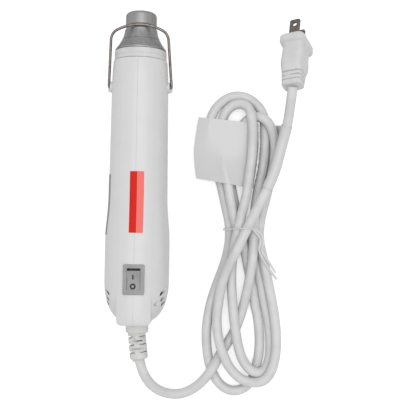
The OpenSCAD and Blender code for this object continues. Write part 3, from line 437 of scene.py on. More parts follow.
def rounded_block(name, length, width, z0, z1, corner):
    """A plate with round corners, from z0 up to z1."""
    piece = outline(name, rounded_outline(length, width, corner, z0), "NGON")
    edit(piece)
    bpy.ops.mesh.extrude_region_move(TRANSFORM_OT_translate={"value": (0, 0, z1 - z0)})
    bpy.ops.mesh.select_all(action="SELECT")
    bpy.ops.mesh.normals_make_consistent(inside=False)
    close_edit()
    return piece


def lay_grid(name, columns, rows, place_corner):
    """A grid whose corners are put in place by their column and row, from 0 to 1."""
    bpy.ops.object.select_all(action="DESELECT")
    bpy.ops.mesh.primitive_grid_add(x_subdivisions=columns, y_subdivisions=rows, size=1)
    piece = bpy.context.object
    piece.name = name
    for corner in piece.data.vertices:
        corner.co = place_corner(corner.co.x + 0.5, corner.co.y + 0.5)
    edit(piece)
    bpy.ops.mesh.normals_make_consistent(inside=False)
    close_edit()
    return piece


def join(name, pieces):
    """Joins pieces into one object."""
    only(pieces[0])
    for other in pieces[1:]:
        other.select_set(True)
    bpy.ops.object.join()
    pieces[0].name = name
    return pieces[0]


def dress(piece, material, slot, body, *nodes):
    """Gives a finished piece its material and body, and hides the nodes that it stands for. Its slot is
    not used.
    """
    piece.data.materials.clear()
    piece.data.materials.append(material)
    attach(piece, body)
    if nodes:
        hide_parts(*nodes)


# Finishes
def colour(text):
    """An sRGB hex colour as linear red, green, blue and alpha."""
    channels = [int(text[i:i + 2], 16) / 255 for i in (1, 3, 5)]
    return [c / 12.92 if c <= 0.04045 else ((c + 0.055) / 1.055) ** 2.4 for c in channels] + [1]


def per_mm(size):
    """The scale of a pattern whose features are size millimetres across."""
    return 1 / (size * MM)


def add(tree, kind, settings=None, **links):
    """Adds a node with its settings, and its inputs as values or as links from sockets. An input
    is given by its name, or as n and its number."""
    node = tree.nodes.new(kind)
    for key, value in (settings or {}).items():
        setattr(node, key, value)
    for key, value in links.items():
        socket = node.inputs[int(key[1:])] if key[0] == "n" and key[1:].isdigit() else \
            node.inputs[key.replace("_", " ")]
        if isinstance(value, bpy.types.NodeSocket):
            tree.links.new(value, socket)
        else:
            socket.default_value = value
    return node


def finish(name, base, roughness, metallic=0.0, **sockets):
    """A new material: its tree, its shader and the Object coordinates for its patterns."""
    material = bpy.data.materials.new(name)
    material.use_nodes = True
    tree = material.node_tree
    shader = tree.nodes["Principled BSDF"]
    shader.inputs["Base Color"].default_value = colour(base)
    shader.inputs["Roughness"].default_value = roughness
    shader.inputs["Metallic"].default_value = metallic
    for key, value in sockets.items():
        shader.inputs[key.replace("_", " ")].default_value = value
    coords = add(tree, "ShaderNodeTexCoord").outputs["Object"]
    return material, tree, shader, coords


def vary_colour(tree, shader, coords, size, dark, light):
    """Drives the base colour between two close tones, in soft patches of a size."""
    noise = add(tree, "ShaderNodeTexNoise", Vector=coords, Scale=per_mm(size), Detail=3.0)
    ramp = add(tree, "ShaderNodeValToRGB", Fac=noise.outputs["Fac"])
    ramp.color_ramp.elements[0].position = 0.35
    ramp.color_ramp.elements[0].color = colour(dark)
    ramp.color_ramp.elements[1].position = 0.65
    ramp.color_ramp.elements[1].color = colour(light)
    tree.links.new(ramp.outputs["Color"], shader.inputs["Base Color"])


def vary_roughness(tree, shader, coords, size, low, high):
    """Drives the roughness between two values, in patches of a size."""
    noise = add(tree, "ShaderNodeTexNoise", Vector=coords, Scale=per_mm(size), Detail=4.0)
    span = add(tree, "ShaderNodeMapRange", Value=noise.outputs["Fac"], From_Min=0.3, From_Max=0.7,
               To_Min=low, To_Max=high)
    tree.links.new(span.outputs["Result"], shader.inputs["Roughness"])


def bump(tree, shader, height, strength, depth):
    """Bumps the surface by a height pattern, depth in millimetres."""
    node = add(tree, "ShaderNodeBump", Height=height, Strength=strength, Distance=depth * MM)
    tree.links.new(node.outputs["Normal"], shader.inputs["Normal"])


def gloss_abs():
    """Gloss moulded ABS: smooth, faintly wavy, with slightly uneven gloss."""
    material, tree, shader, coords = finish("gloss_moulded_abs", "#D9D9D9", 0.3, IOR=1.53)
    vary_colour(tree, shader, coords, 12, "#D8D8D8", "#DADADA")
    vary_roughness(tree, shader, coords, 3, 0.28, 0.32)
    wave = add(tree, "ShaderNodeTexNoise", Vector=coords, Scale=per_mm(1.2), Detail=2.0)
    bump(tree, shader, wave.outputs["Fac"], 0.08, 0.02)
    return material


def satin_paint():
    """Satin painted metal: pale and faintly mottled, with a dull sheen and a fine grain."""
    material, tree, shader, coords = finish("satin_painted_metal", "#D4D4D4", 0.38, IOR=1.5)
    vary_colour(tree, shader, coords, 6, "#CFCFCF", "#D8D8D8")
    grain = add(tree, "ShaderNodeTexNoise", Vector=coords, Scale=per_mm(0.7), Detail=3.0)
    bump(tree, shader, grain.outputs["Fac"], 0.15, 0.03)
    return material


# Turning marks, in millimetres apart. The wave node makes 20 / 2 pi waves in a unit of its scale
TOOL_RING = 0.986
WAVES_PER_UNIT = 20 / (2 * math.pi)
STREAK_STRETCH = 0.04


def turned_steel():
    """Turned stainless steel: grey, with fine tool rings round its axis and drawn streaks along it."""
    material, tree, shader, coords = finish("turned_stainless_steel", "#949494", 0.46, 1.0)
    along = add(tree, "ShaderNodeMapping", Vector=coords,
                Rotation=(TILT, 0, 0), Scale=(1, STREAK_STRETCH, 1))
    streak = add(tree, "ShaderNodeTexNoise", Vector=along.outputs["Vector"], Scale=per_mm(1.8),
                 Detail=3.0)
    ramp = add(tree, "ShaderNodeValToRGB", Fac=streak.outputs["Fac"])
    ramp.color_ramp.elements[0].position = 0.35
    ramp.color_ramp.elements[0].color = colour("#8E8E8E")
    ramp.color_ramp.elements[1].position = 0.68
    ramp.color_ramp.elements[1].color = colour("#9A9A9A")
    tree.links.new(ramp.outputs["Color"], shader.inputs["Base Color"])
    rings = add(tree, "ShaderNodeTexWave", {"wave_type": "BANDS", "bands_direction": "Y"},
                Vector=coords, Scale=per_mm(TOOL_RING * WAVES_PER_UNIT), Distortion=0.4, Detail=1.0)
    bump(tree, shader, rings.outputs["Fac"], 0.1, 0.02)
    return material


def bright_wire():
    """Nickel plated spring wire: warm grey, drawn smooth, a little dulled."""
    material, tree, shader, coords = finish("nickel_plated_wire", "#787270", 0.2, 1.0)
    vary_colour(tree, shader, coords, 2.5, "#6B6562", "#837D7A")
    vary_roughness(tree, shader, coords, 1.5, 0.16, 0.26)
    return material


def plug_brass():
    """Nickel plated brass blade: a dull warm grey with fine marks."""
    material, tree, shader, coords = finish("nickel_plated_brass", "#6E6862", 0.4, 1.0)
    vary_colour(tree, shader, coords, 1.5, "#605A54", "#7C766F")
    grain = add(tree, "ShaderNodeTexNoise", Vector=coords, Scale=per_mm(0.4), Detail=3.0)
    bump(tree, shader, grain.outputs["Fac"], 0.2, 0.02)
    return material


def moulded(name, base, dark, light, roughness, texture=0.5):
    """A moulded plastic: close tones, uneven gloss and a fine texture of a size in millimetres."""
    material, tree, shader, coords = finish(name, base, roughness, IOR=1.5)
    vary_colour(tree, shader, coords, 8, dark, light)
    vary_roughness(tree, shader, coords, 4, roughness - 0.04, roughness + 0.05)
    grain = add(tree, "ShaderNodeTexNoise", Vector=coords, Scale=per_mm(texture), Detail=2.0)
    bump(tree, shader, grain.outputs["Fac"], 0.2, 0.02)
    return material


def plain_metal(name, base, dark, light, roughness):
    """A metal piece inside the tool: close tones and uneven gloss."""
    material, tree, shader, coords = finish(name, base, roughness, 1.0)
    vary_colour(tree, shader, coords, 3, dark, light)
    vary_roughness(tree, shader, coords, 2, roughness - 0.05, roughness + 0.07)
    return material


def mica():
    """Mica plate: brownish and flaky, half gloss."""
    material, tree, shader, coords = finish("pressed_mica", "#B9A878", 0.4, IOR=1.58)
    flakes = add(tree, "ShaderNodeTexVoronoi", Vector=coords, Scale=per_mm(2.5))
    ramp = add(tree, "ShaderNodeValToRGB", Fac=flakes.outputs["Distance"])
    ramp.color_ramp.elements[0].color = colour("#A59262")
    ramp.color_ramp.elements[1].color = colour("#C9BA8C")
    tree.links.new(ramp.outputs["Color"], shader.inputs["Base Color"])
    bump(tree, shader, flakes.outputs["Distance"], 0.2, 0.05)
    return material


def sticker_film():
    """Printed vinyl sticker with dull ink: red at the left, pink at the right."""
    material, tree, shader, coords = finish("printed_vinyl_film", "#D71C0A", 0.4, IOR=1.5,
                                            Specular_IOR_Level=0.15)
    split = add(tree, "ShaderNodeSeparateXYZ", Vector=coords)
    side = add(tree, "ShaderNodeMath", {"operation": "GREATER_THAN"}, n0=split.outputs["X"],
               n1=(STICKER_X + STICKER_SPLIT) * MM)
    tones = add(tree, "ShaderNodeTexNoise", Vector=coords, Scale=per_mm(1.2), Detail=3.0)
    red = add(tree, "ShaderNodeValToRGB", Fac=tones.outputs["Fac"])
    red.color_ramp.elements[0].color = colour("#CE1507")
    red.color_ramp.elements[1].color = colour("#DE2413")
    pink = add(tree, "ShaderNodeValToRGB", Fac=tones.outputs["Fac"])
    pink.color_ramp.elements[0].color = colour("#F2726A")
    pink.color_ramp.elements[1].color = colour("#F88078")
    both = add(tree, "ShaderNodeMix", {"data_type": "RGBA"}, n0=side.outputs["Value"],
               n6=red.outputs["Color"], n7=pink.outputs["Color"])
    tree.links.new(both.outputs["Result"], shader.inputs["Base Color"])
    return material


def panel_film():
    """Grey printed vinyl: matt, with faint tones."""
    material, tree, shader, coords = finish("grey_vinyl_film", "#8C8C8C", 0.5, IOR=1.5)
    vary_colour(tree, shader, coords, 3, "#858585", "#929292")
    return material


def white_film():
    """White polyethylene film: opaque and thin, half gloss, with soft creases."""
    material, tree, shader, coords = finish("polyethylene_film", "#D4D4D4", 0.22, IOR=1.5)
    crease = add(tree, "ShaderNodeTexNoise", Vector=coords, Scale=per_mm(7), Detail=2.0)
    bump(tree, shader, crease.outputs["Fac"], 0.3, 0.3)
    return material


# Sticker and panel: places, sizes, film thickness and how far they lie off the housing
STICKER_X = 0.95
STICKER_SPLIT = 0.1
STICKER_SIZE = (9.8, 43)
STICKER_Z = 63.5
PANEL_SIZE = (18, 43.5)
PANEL_Z = 61.6
FILM = 0.2
LIFT = 0.05

# Finishes of the pieces that show, each as its real material
ABS = gloss_abs()
RING_PAINT = satin_paint()
STEEL = turned_steel()
WIRE = bright_wire()
BLADE_METAL = plug_brass()
SWITCH_PLASTIC = moulded("grey_nylon", "#999999", "#949494", "#9E9E9E", 0.45)
ROCKER_PLASTIC = moulded("grey_polycarbonate", "#979797", "#929292", "#9C9C9C", 0.4)
MARK_PAINT = moulded("dark_pad_print", "#0E0E0E", "#0A0A0A", "#131313", 0.6)
PVC = moulded("white_cable_pvc", "#D6D6D6", "#D2D2D2", "#DADADA", 0.42, 0.9)
PLUG_PVC = moulded("moulded_plug_pvc", "#D5D5D5", "#D1D1D1", "#D9D9D9", 0.4, 0.7)
RELIEF_PVC = moulded("moulded_relief_pvc", "#D6D6D5", "#D2D2D1", "#DADAD9", 0.45, 0.7)
TIE_PVC = moulded("tie_pvc", "#DADADA", "#D4D4D4", "#E0E0E0", 0.4)


# The housing
def make_housing():
    """The whole round body with its raised band, hollow, ready to be halved."""
    side_line = [(body_r(z), z) for z in stations(DOME)]
    shell = turned("housing", [(END_HOLE_R, 0)] + side_line + [(END_HOLE_R, LENGTH)], 128)
    band_zs = [BAND_REAR + BAND_EDGE * (1 - math.cos(math.pi / 8 * i)) for i in range(4)]
    band_zs += [z for z in stations(BAND_DOME) if z > band_zs[-1] + 0.1]
    band_line = [(END_HOLE_R, 0), (COLLAR_HOLE_R, 0), (COLLAR_HOLE_R, BAND_REAR)]
    band_line += [(band_r(z), z) for z in band_zs] + [(END_HOLE_R, LENGTH)]
    band = turned("band", band_line, 128)
    slab = rounded_block("slab", 2 * BAND_HALF, BAND_FRONT - BAND_REAR + 0.1, -OUTSIDE, OUTSIDE,
                         BAND_CORNER)
    move(slab, Matrix.Translation((0, 0, (BAND_FRONT + BAND_REAR) / 2)) @ STAND_UP)
    cut(band, slab, "INTERSECT")
    cut(shell, band, "UNION")
    inner = [REAR_WALL + (DOME - REAR_WALL) * (1 - math.cos(math.pi / 2 * i / 8)) for i in range(9)]
    inner += [z for z in stations(DOME) if z > DOME][:-1]
    hollow = turned("hollow", [(5, REAR_WALL)] + [(body_r(z) - WALL, z) for z in inner]
                    + [(body_r(LENGTH) - WALL, LENGTH + 1), (5, LENGTH + 1)], 96)
    cut(shell, hollow)
    for z, inside in RIBS:
        reach = body_r(z) - WALL + 0.3
        rib = turned("rib", [(inside, z), (reach, z), (reach, z + RIB_T), (inside, z + RIB_T)])
        cut(shell, rib, "UNION")
    cut(shell, block("pad", (0, -(PAD_H + 5), BEZEL_Z), (SWITCH_W + 0.2, 10, SWITCH_LEN + 0.2)))
    cut(shell, block("hole", (0, -23, BEZEL_Z), (SWITCH_W - 1.8, 10, SWITCH_LEN - 1.6)))
    return shell


def skin_x(y, z):
    """How far out to the side the round body's surface is, at y and z."""
    return math.sqrt(body_r(z) ** 2 - y * y)


def boss_limit():
    """What a screw boss has to stay inside: the round body, a little under its skin."""
    side_line = [(body_r(z) - 0.7, z) for z in stations(DOME) if z > 2]
    return turned("limit", [(2, 2)] + side_line + [(2, LENGTH)], 64)


def cut_slots(half, side):
    """Cuts a half's six short air slots, three towards the front and three towards the back."""
    for z, near, far in SLOT_PLACES:
        for end in (-1, 1):
            slot = rounded_block("slot", SLOT_W, far - near, -6, 6, SLOT_W / 2 - 0.01)
            move(slot, Matrix.Translation((side * (body_r(z) - SLOT_IN), end * (far + near) / 2, z))
                 @ Matrix.Rotation(math.radians(side * SLOT_SLANT), 4, "Y"))
            cut(half, slot)


def housing_half(shell, side, name):
    """One half of the housing, with its lug, air slots and screw bosses."""
    half = copy(shell, name)
    cut(half, block("other", (side * (SEAM - OUTSIDE), 0, 90), (2 * OUTSIDE, 80, 240)))
    lug_root = body_r(PIVOT_Z) - 1
    lug = rod("lug", (side * lug_root, 0, PIVOT_Z), (side * LUG_REACH, 0, PIVOT_Z), LUG_R, 64)
    soften(lug, 0.4)
    cut(half, lug, "UNION")
    for y, z in SCREW_PLACES:
        boss = rod("boss", (side * SEAM, y, z), (side * skin_x(y, z), y, z), BOSS_R)
        cut(boss, boss_limit(), "INTERSECT")
        cut(half, boss, "UNION")
    cut_slots(half, side)
    cut(half, block("leg_slot", (side * (LEG_SLOT_X + 2.5), LEG_SLOT_Y, PIVOT_Z),
                    (5, LUG_R + 1 + LEG_ROOM, 2 * LUG_R + 2)))
    cut(half, rod("bail_hole", (side * 19.05, 0, PIVOT_Z), (side * 24.5, 0, PIVOT_Z), WIRE_R + 0.05))
    for y, z in SCREW_PLACES:
        if side > 0:
            cut(half, rod("screw_hole", (-1, y, z), (OUTSIDE, y, z), SCREW_HOLE_R))
            cut(half, rod("recess", (skin_x(y, z) - WALL - 1.5, y, z), (40, y, z), RECESS_R, 48))
        else:
            cut(half, rod("screw_hole", (1, y, z), (-8.5, y, z), SCREW_HOLE_R))
    shade(half, 30)
    modify(half, "WEIGHTED_NORMAL", keep_sharp=True)
    place(half, LAY)
    return half


# Further out than any part of the housing, for what cuts it
OUTSIDE = 30

# Holes at the cord end for the relief's neck and collar, and ribs by place and inner radius
END_HOLE_R = 6.6
COLLAR_HOLE_R = 8.4
RIBS = ((4.4, 6.5), (88, 17.7), (107, 17.7))
RIB_T = 1.5

# Seam, screws and air slots
SEAM = 0.04
SCREW_PLACES = [(-14.2, 13.6), (14.2, 13.6), (16.2, 70)]
BOSS_R = 3.3
SCREW_HOLE_R = 1.05
RECESS_R = 1.8
SLOT_PLACES = [(21.4, 8, 14), (16, 7, 12), (10.6, 3.5, 9.5)]
SLOT_W = 1.6
SLOT_IN = 3.5
SLOT_SLANT = 45

# The bail's wire and lugs. Each lug has a slot for the bail's leg, open towards the front
BAIL_HALF = 22.85
WIRE_R = 1
LUG_R = 3.95
LUG_REACH = 23.6
LEG_ROOM = 1.3
LEG_SLOT_X = BAIL_HALF - WIRE_R - 0.3
LEG_SLOT_Y = (LEG_ROOM - LUG_R - 1) / 2

# The switch's bezel, which sits a little nearer the cord end than the rocker's pivot
SWITCH_W = 15
SWITCH_LEN = 21
BEZEL_SHIFT = -0.8
BEZEL_Z = SWITCH_Z + BEZEL_SHIFT

shell = make_housing()
for side, name in ((-1, "left_shell"), (1, "right_shell")):
    half = housing_half(shell, side, name)
    dress(half, ABS, "housing", "tool", "left_housing" if side < 0 else "right_housing")
bpy.data.objects.remove(shell)


# Ring and nozzle
def make_ring():
    """The pale ring, with its spigot inside the housing."""
    line = [(15.6, -6), (17.5, -6), (17.5, 0.1), (18, 0.1), (18, 0.5), (18.7, 0.5), (18.9, 0.7),
            (18.9, 3.2), (18.65, 3.35), (18.65, 3.6), (18.9, 3.75)]
    line += arc((18.1, 6.7), 0.8, 0, 90, 6) + [(15.6, 7.5)]
    return turned("pale_ring", [(r, z + LENGTH) for r, z in line], 128)


def flare_r(z):
    """Radius of the nozzle's hollow flare at z, from its lip to its neck."""
    return NECK_R + (LIP_R - NECK_R) * ((FLARE_END - z) / (FLARE_END - LIP)) ** FLARE_BEND


def make_nozzle():
    """The turned nozzle: lip, fine lines, hollow flare, the bail's groove and the round tip."""
    flare = [LIP + (FLARE_END - LIP) * i / 20 for i in range(21)]
    line = [(flare_r(z), z) for z in flare if all(abs(z - fine) > 0.5 for fine in NOZZLE_LINES)]
    for fine in NOZZLE_LINES:
        start, end = fine - LINE_HALF, fine + LINE_HALF
        line += [(flare_r(start), start), (flare_r(fine) - LINE_DEPTH, fine), (flare_r(end), end)]
    line.sort(key=lambda point: point[1])
    lip = [(14.7, -9.5), (15.5, -9.5), (15.5, 0.1), (LIP_R - 0.2, 0.1), (LIP_R, 0.3)]
    tip = [(GROOVE_R, FLARE_END + 0.2), (GROOVE_R, GROOVE_Z + 1.2), (TIP_R, GROOVE_Z + 1.7)]
    tip += arc((TIP_R - TIP_ROUND, NOZZLE - TIP_ROUND), TIP_ROUND, 0, 72, 9)
    inner = [(8.9, NOZZLE - 0.4), (8.9, NOZZLE - 1.2), (9.9, NOZZLE - 2.8), (9.9, 17), (10.6, 14.5),
             (12.6, 9), (13.9, 4.5), (14.7, 2)]
    return turned("turned_nozzle", [(r, z + RING_Z) for r, z in lip + line + tip + inner], 128)


# The nozzle, from the ring's end: lip, hollow flare with its fine lines, groove and tip
NOZZLE = 28.5
LIP_R = 18.5
LIP = 1.3
NECK_R = 11.8
FLARE_END = 15.8
FLARE_BEND = 1.75
NOZZLE_LINES = (2.4, 4.0, 8.3)
LINE_HALF = 0.4
LINE_DEPTH = 0.45
GROOVE_Z = 17.38
GROOVE_R = 11
TIP_R = 11.3
TIP_ROUND = 2.8

ring = make_ring()
shade(ring, 30)
place(ring, LAY)
dress(ring, RING_PAINT, "front_ring", "tool", "front_ring")
nozzle = make_nozzle()
shade(nozzle, 28)
place(nozzle, LAY)
dress(nozzle, STEEL, "nozzle", "tool", "nozzle")


# Bail
def bail_line():
    """The wire from pin to pin, in the bail's own plane."""
    top = BAIL_HALF - BAIL_TAPER - BAIL_CORNER
    reach = BAIL_LEN - BAIL_BOW
    line = [(BAIL_HALF - PIN_LEN, 0)]
    line += arc((BAIL_HALF - PIN_BEND, PIN_BEND), PIN_BEND, -90, 0, 8)
    turn = 90 - math.degrees(math.atan(2 * BAIL_BOW / top))
    line += arc((top, reach - BAIL_CORNER), BAIL_CORNER, 0, turn, 14)
    end_x, end_z = line[-1]
    half_crown = [(end_x * (1 - i / 8), end_z + (BAIL_LEN - end_z) * (1 - (1 - i / 8) ** 2))
                  for i in range(1, 9)]
    right = line + half_crown
    return right + [(-x, z) for x, z in reversed(right[:-1])]


# The bail from its pins to its bowed top, and its angle at rest in the nozzle's groove
BAIL_LEN = 44.8
BAIL_BOW = 3
BAIL_CORNER = 8.5
BAIL_TAPER = 2.1
PIN_LEN = 3.5
PIN_BEND = 1.2
BAIL_REST = 15.9354

BAIL_PLACE = (LAY @ Matrix.Translation((0, 0, PIVOT_Z * MM))
              @ Matrix.Rotation(math.radians(BAIL_REST), 4, "X"))
wire = cord_curve("wire_bail", [BAIL_PLACE @ Vector((x * MM, 0, z * MM)) / MM for x, z in bail_line()],
                  WIRE_R)
only(wire)
bpy.ops.object.convert(target="MESH")
wire = bpy.context.object
shade(wire, 40)
dress(wire, WIRE, "bail_wire", "bail", "bail")


# Switch
def make_frame():
    """The switch's frame: a flange with soft edges, a body and the rocker's well."""
    flange = rounded_block("switch_bezel", SWITCH_W, SWITCH_LEN, 0, BEZEL_T, 0.8)
    soften(flange, 0.3)
    box = block("body", (0, 0, -5.8), (SWITCH_W - 2, SWITCH_LEN - 1.8, 12.3))
    cut(flange, box, "UNION")
    well = rounded_block("well", ROCKER_W + 0.2, ROCKER_FRONT - ROCKER_REAR + 1.3, -7.5, 3, 0.4)
    move(well, Matrix.Translation((0, (ROCKER_FRONT + ROCKER_REAR) / 2 + 0.4 - BEZEL_SHIFT, 0)))
    cut(flange, well)
    pin_h = ROCKER_H - SWITCH_TOP + BEZEL_T
    cut(flange, rod("pins", (-5.8, -BEZEL_SHIFT, pin_h), (5.8, -BEZEL_SHIFT, pin_h), PIVOT_R + 0.05))
    shade(flange, 35)
    return flange


def rocker_top(z):
    """How far the rocker's top stands out from its pivot at z, lowest in the middle."""
    return ROCKER_LOW + ROCKER_DISH * (abs(z) / ROCKER_HALF) ** 1.3


def make_rocker():
    """The rocker: a key with a hollow top, round edges and its two pins."""
    zs = [ROCKER_REAR + (ROCKER_FRONT - ROCKER_REAR) * i / 20 for i in range(21)]
    under = [(ROCKER_FRONT - 1.2, -1.84), (0, -4.6), (ROCKER_REAR + 1.2, -1.84)]
    side_line = [(-ROCKER_W / 2, z, h) for z, h in [(z, rocker_top(z)) for z in zs] + under]
    piece = outline("rocker_key", side_line, "NGON")
    edit(piece)
    bpy.ops.mesh.extrude_region_move(TRANSFORM_OT_translate={"value": (ROCKER_W, 0, 0)})
    bpy.ops.mesh.select_all(action="SELECT")
    bpy.ops.mesh.normals_make_consistent(inside=False)
    close_edit()
    soften(piece, 0.45, 30)
    cut(piece, rod("pins", (-ROCKER_W / 2 - 0.8, 0, 0), (ROCKER_W / 2 + 0.8, 0, 0), PIVOT_R), "UNION")
    shade(piece, 35)
    return piece


def make_marks():
    """The on and off marks, a bar and a ring, laid on the rocker's top."""
    bar = rounded_block("bar", BAR_W, BAR_LEN, 0, 0.05, 0.15)
    move(bar, Matrix.Translation((MARK_X, BAR_AT, 0)))
    bpy.ops.object.select_all(action="DESELECT")
    bpy.ops.mesh.primitive_circle_add(vertices=48, radius=RING_OUT, location=(MARK_X, RING_AT, 0))
    ring = bpy.context.object
    bpy.ops.object.transform_apply(location=True, rotation=True, scale=True)
    edit(ring)
    bpy.ops.mesh.extrude_region_move()
    bpy.ops.transform.resize(value=(RING_IN / RING_OUT,) * 3, center_override=(MARK_X, RING_AT, 0))
    close_edit()
    modify(ring, "SOLIDIFY", thickness=0.06, offset=0)
    marks = join("switch_marks", [bar, ring])
    for corner in marks.data.vertices:
        corner.co.z += rocker_top(corner.co.y) + 0.02
    shade(marks)
    return marks


# The bezel's thickness, and the rocker: pivot height, width, ends, hollow top and travel
BEZEL_T = 1.5
ROCKER_H = SWITCH_TOP - 3
ROCKER_W = 9.3
ROCKER_HALF = 7.6
ROCKER_REAR = -7.8
ROCKER_FRONT = 6.1
ROCKER_LOW = 2.8
ROCKER_DISH = 1.4
ROCKER_THROW = 14
PIVOT_R = 1.2

# The marks: a bar for on and a ring for off
MARK_X = -0.4
BAR_AT = 1.4
BAR_W = 0.95
BAR_LEN = 3.3
RING_AT = -5
RING_OUT = 2.05
RING_IN = 0.95

# The switch's pieces are made flat, with Z out of the tool and Y along it
SWITCH_UP = LAY @ SIZE_DOWN @ Matrix.Translation((0, 0, SWITCH_Z)) @ STAND_UP

frame_piece = make_frame()
move(frame_piece, SWITCH_UP @ Matrix.Translation((0, BEZEL_SHIFT, SWITCH_TOP - BEZEL_T)))
dress(frame_piece, SWITCH_PLASTIC, "switch_frame", "tool", "switch_frame")
rocker_place = (SWITCH_UP @ Matrix.Translation((0, 0, ROCKER_H))
                @ Matrix.Rotation(math.radians(ROCKER_THROW / 2), 4, "X"))
key = make_rocker()
move(key, rocker_place)
dress(key, ROCKER_PLASTIC, "rocker", "rocker", "rocker")
marks = make_marks()
move(marks, rocker_place)
dress(marks, MARK_PAINT, "rocker", "rocker")


# Labels
def patch(name, columns, rows, place_corner):
    """A thin film laid on the housing."""
    piece = lay_grid(name, columns, rows, place_corner)
    modify(piece, "SOLIDIFY", thickness=FILM, offset=0, use_even_offset=True)
    shade(piece, 50)
    place(piece, LAY)
    return piece


def front_place(u, v):
    """A point of the front sticker, which lies on the raised band."""
    z = STICKER_Z + STICKER_SIZE[1] * v
    x = STICKER_X + STICKER_SIZE[0] * (u - 0.5)
    r = body_r(z) + BAND_RISE + LIFT + FILM / 2
    return (x, -math.sqrt(r * r - x * x), z)


def side_place(u, v):
    """A point of the panel on the left side."""
    z = PANEL_Z + PANEL_SIZE[1] * v
    y = PANEL_SIZE[0] * (u - 0.5)
    r = body_r(z) + LIFT + FILM / 2
    return (-math.sqrt(r * r - y * y), y, z)


dress(patch("red_sticker", 14, 30, front_place), sticker_film(), "front_sticker", "tool", "front_sticker")
dress(patch("grey_panel", 20, 30, side_place), panel_film(), "side_panel", "tool", "side_panel")


# Strain relief
def relief_slit(k, z, end):
    """A cutter for one side of a slit, down to the sleeve's core. Slits change sides turn about."""
    if k % 2 == 0:
        height = WIDE_SLIT if end < 0 else NARROW_SLIT
        slit = block("slit", (end * (RELIEF_WEB / 2 + 5), 0, z), (10, 20, height))
    else:
        slit = block("slit", (0, end * 6.6, z), (8.6, 4, 1))
    cut(slit, rod("core", (0, 0, z - 3), (0, 0, z + 3), RELIEF_CORE_R))
    return slit


def make_relief():
    """The ribbed sleeve at the cord end: collar, neck and ribs joined by webs that change sides."""
    collar = [(3.9, -8.6), (7.6, -8.6), (8.1, -8.2), (8.25, -7), (8.1, -3), (8, -0.4), (7.7, -0.1),
              (6.5, -0.1), (6.5, 2.3), (9.5, 2.3), (9.5, 4.3), (3.9, 4.3)]
    relief = turned("ribbed_relief", collar)
    sleeve_line = [(3.6, -RIB_ZONE), (5.6, -RIB_ZONE), (6.3, -RIB_ZONE + 0.5), (6.5, -RIB_ZONE + 1.4),
                   (6.45, -8), (6.3, 3.3), (3.6, 3.3)]
    sleeve = turned("sleeve", sleeve_line)
    for k in range(5):
        for end in (-1, 1):
            cut(sleeve, relief_slit(k, FIRST_SLIT - SLIT_STEP * k, end))
    move(sleeve, Matrix.Translation((0, 0, RELIEF_BEND_Z))
         @ Matrix.Rotation(math.radians(-RELIEF_LEAN), 4, "Y"))
    cut(relief, sleeve, "UNION")
    move(relief, Matrix.Translation((RELIEF_SHIFT, 0, 0)))
    soften(relief, 0.15, 40, 2)
    shade(relief, 35)
    return relief


# The relief stands a little aside and leans to the right from just below its collar
RELIEF_SHIFT = 0.8
RELIEF_LEAN = 6.4
RELIEF_BEND_Z = -10.6
RIB_ZONE = 17.2
RELIEF_CORE_R = 4.5
RELIEF_WEB = 4
FIRST_SLIT = -0.7
SLIT_STEP = 2.8
WIDE_SLIT = 1.6
NARROW_SLIT = 0.9

relief = make_relief()
place(relief, LAY)
dress(relief, RELIEF_PVC, "strain_relief", "tool", "strain_relief")


# Mains lead
lead_points = even_route([RELIEF_EXIT] + LEAD_ROUTE + HANK_ROUTE + PLUG_ROUTE, ROUTE_STEP)
hank_first = int(np.argmin(np.linalg.norm(lead_points - np.array(LEAD_ROUTE[-1]), axis=1)))
hank_last = int(np.argmin(np.linalg.norm(lead_points - np.array(PLUG_ROUTE[0]), axis=1)))
lead_line = settle(lead_points, hank_first, hank_last)
mains_lead = cord_curve("mains_lead", lead_line, CORD_R)
dress(mains_lead, PVC, "cord", "tool", "cord_lead", "cord_hank", "plug_lead")


# Plug
def loft(name, sections):
    """A closed body through like outlines, each one drawn out of the one before."""
    piece = outline(name, sections[0], "NGON")
    edit(piece)
    for before, after in zip(sections, sections[1:]):
        bpy.ops.mesh.extrude_region_move()
        close_edit()
        where = {tuple(round(c, 4) for c in old): new for old, new in zip(before, after)}
        for corner in piece.data.vertices:
            if corner.select:
                corner.co = where[tuple(round(c, 4) for c in corner.co)]
        bpy.ops.object.mode_set(mode="EDIT")
    bpy.ops.mesh.select_all(action="SELECT")
    bpy.ops.mesh.normals_make_consistent(inside=False)
    close_edit()
    return piece


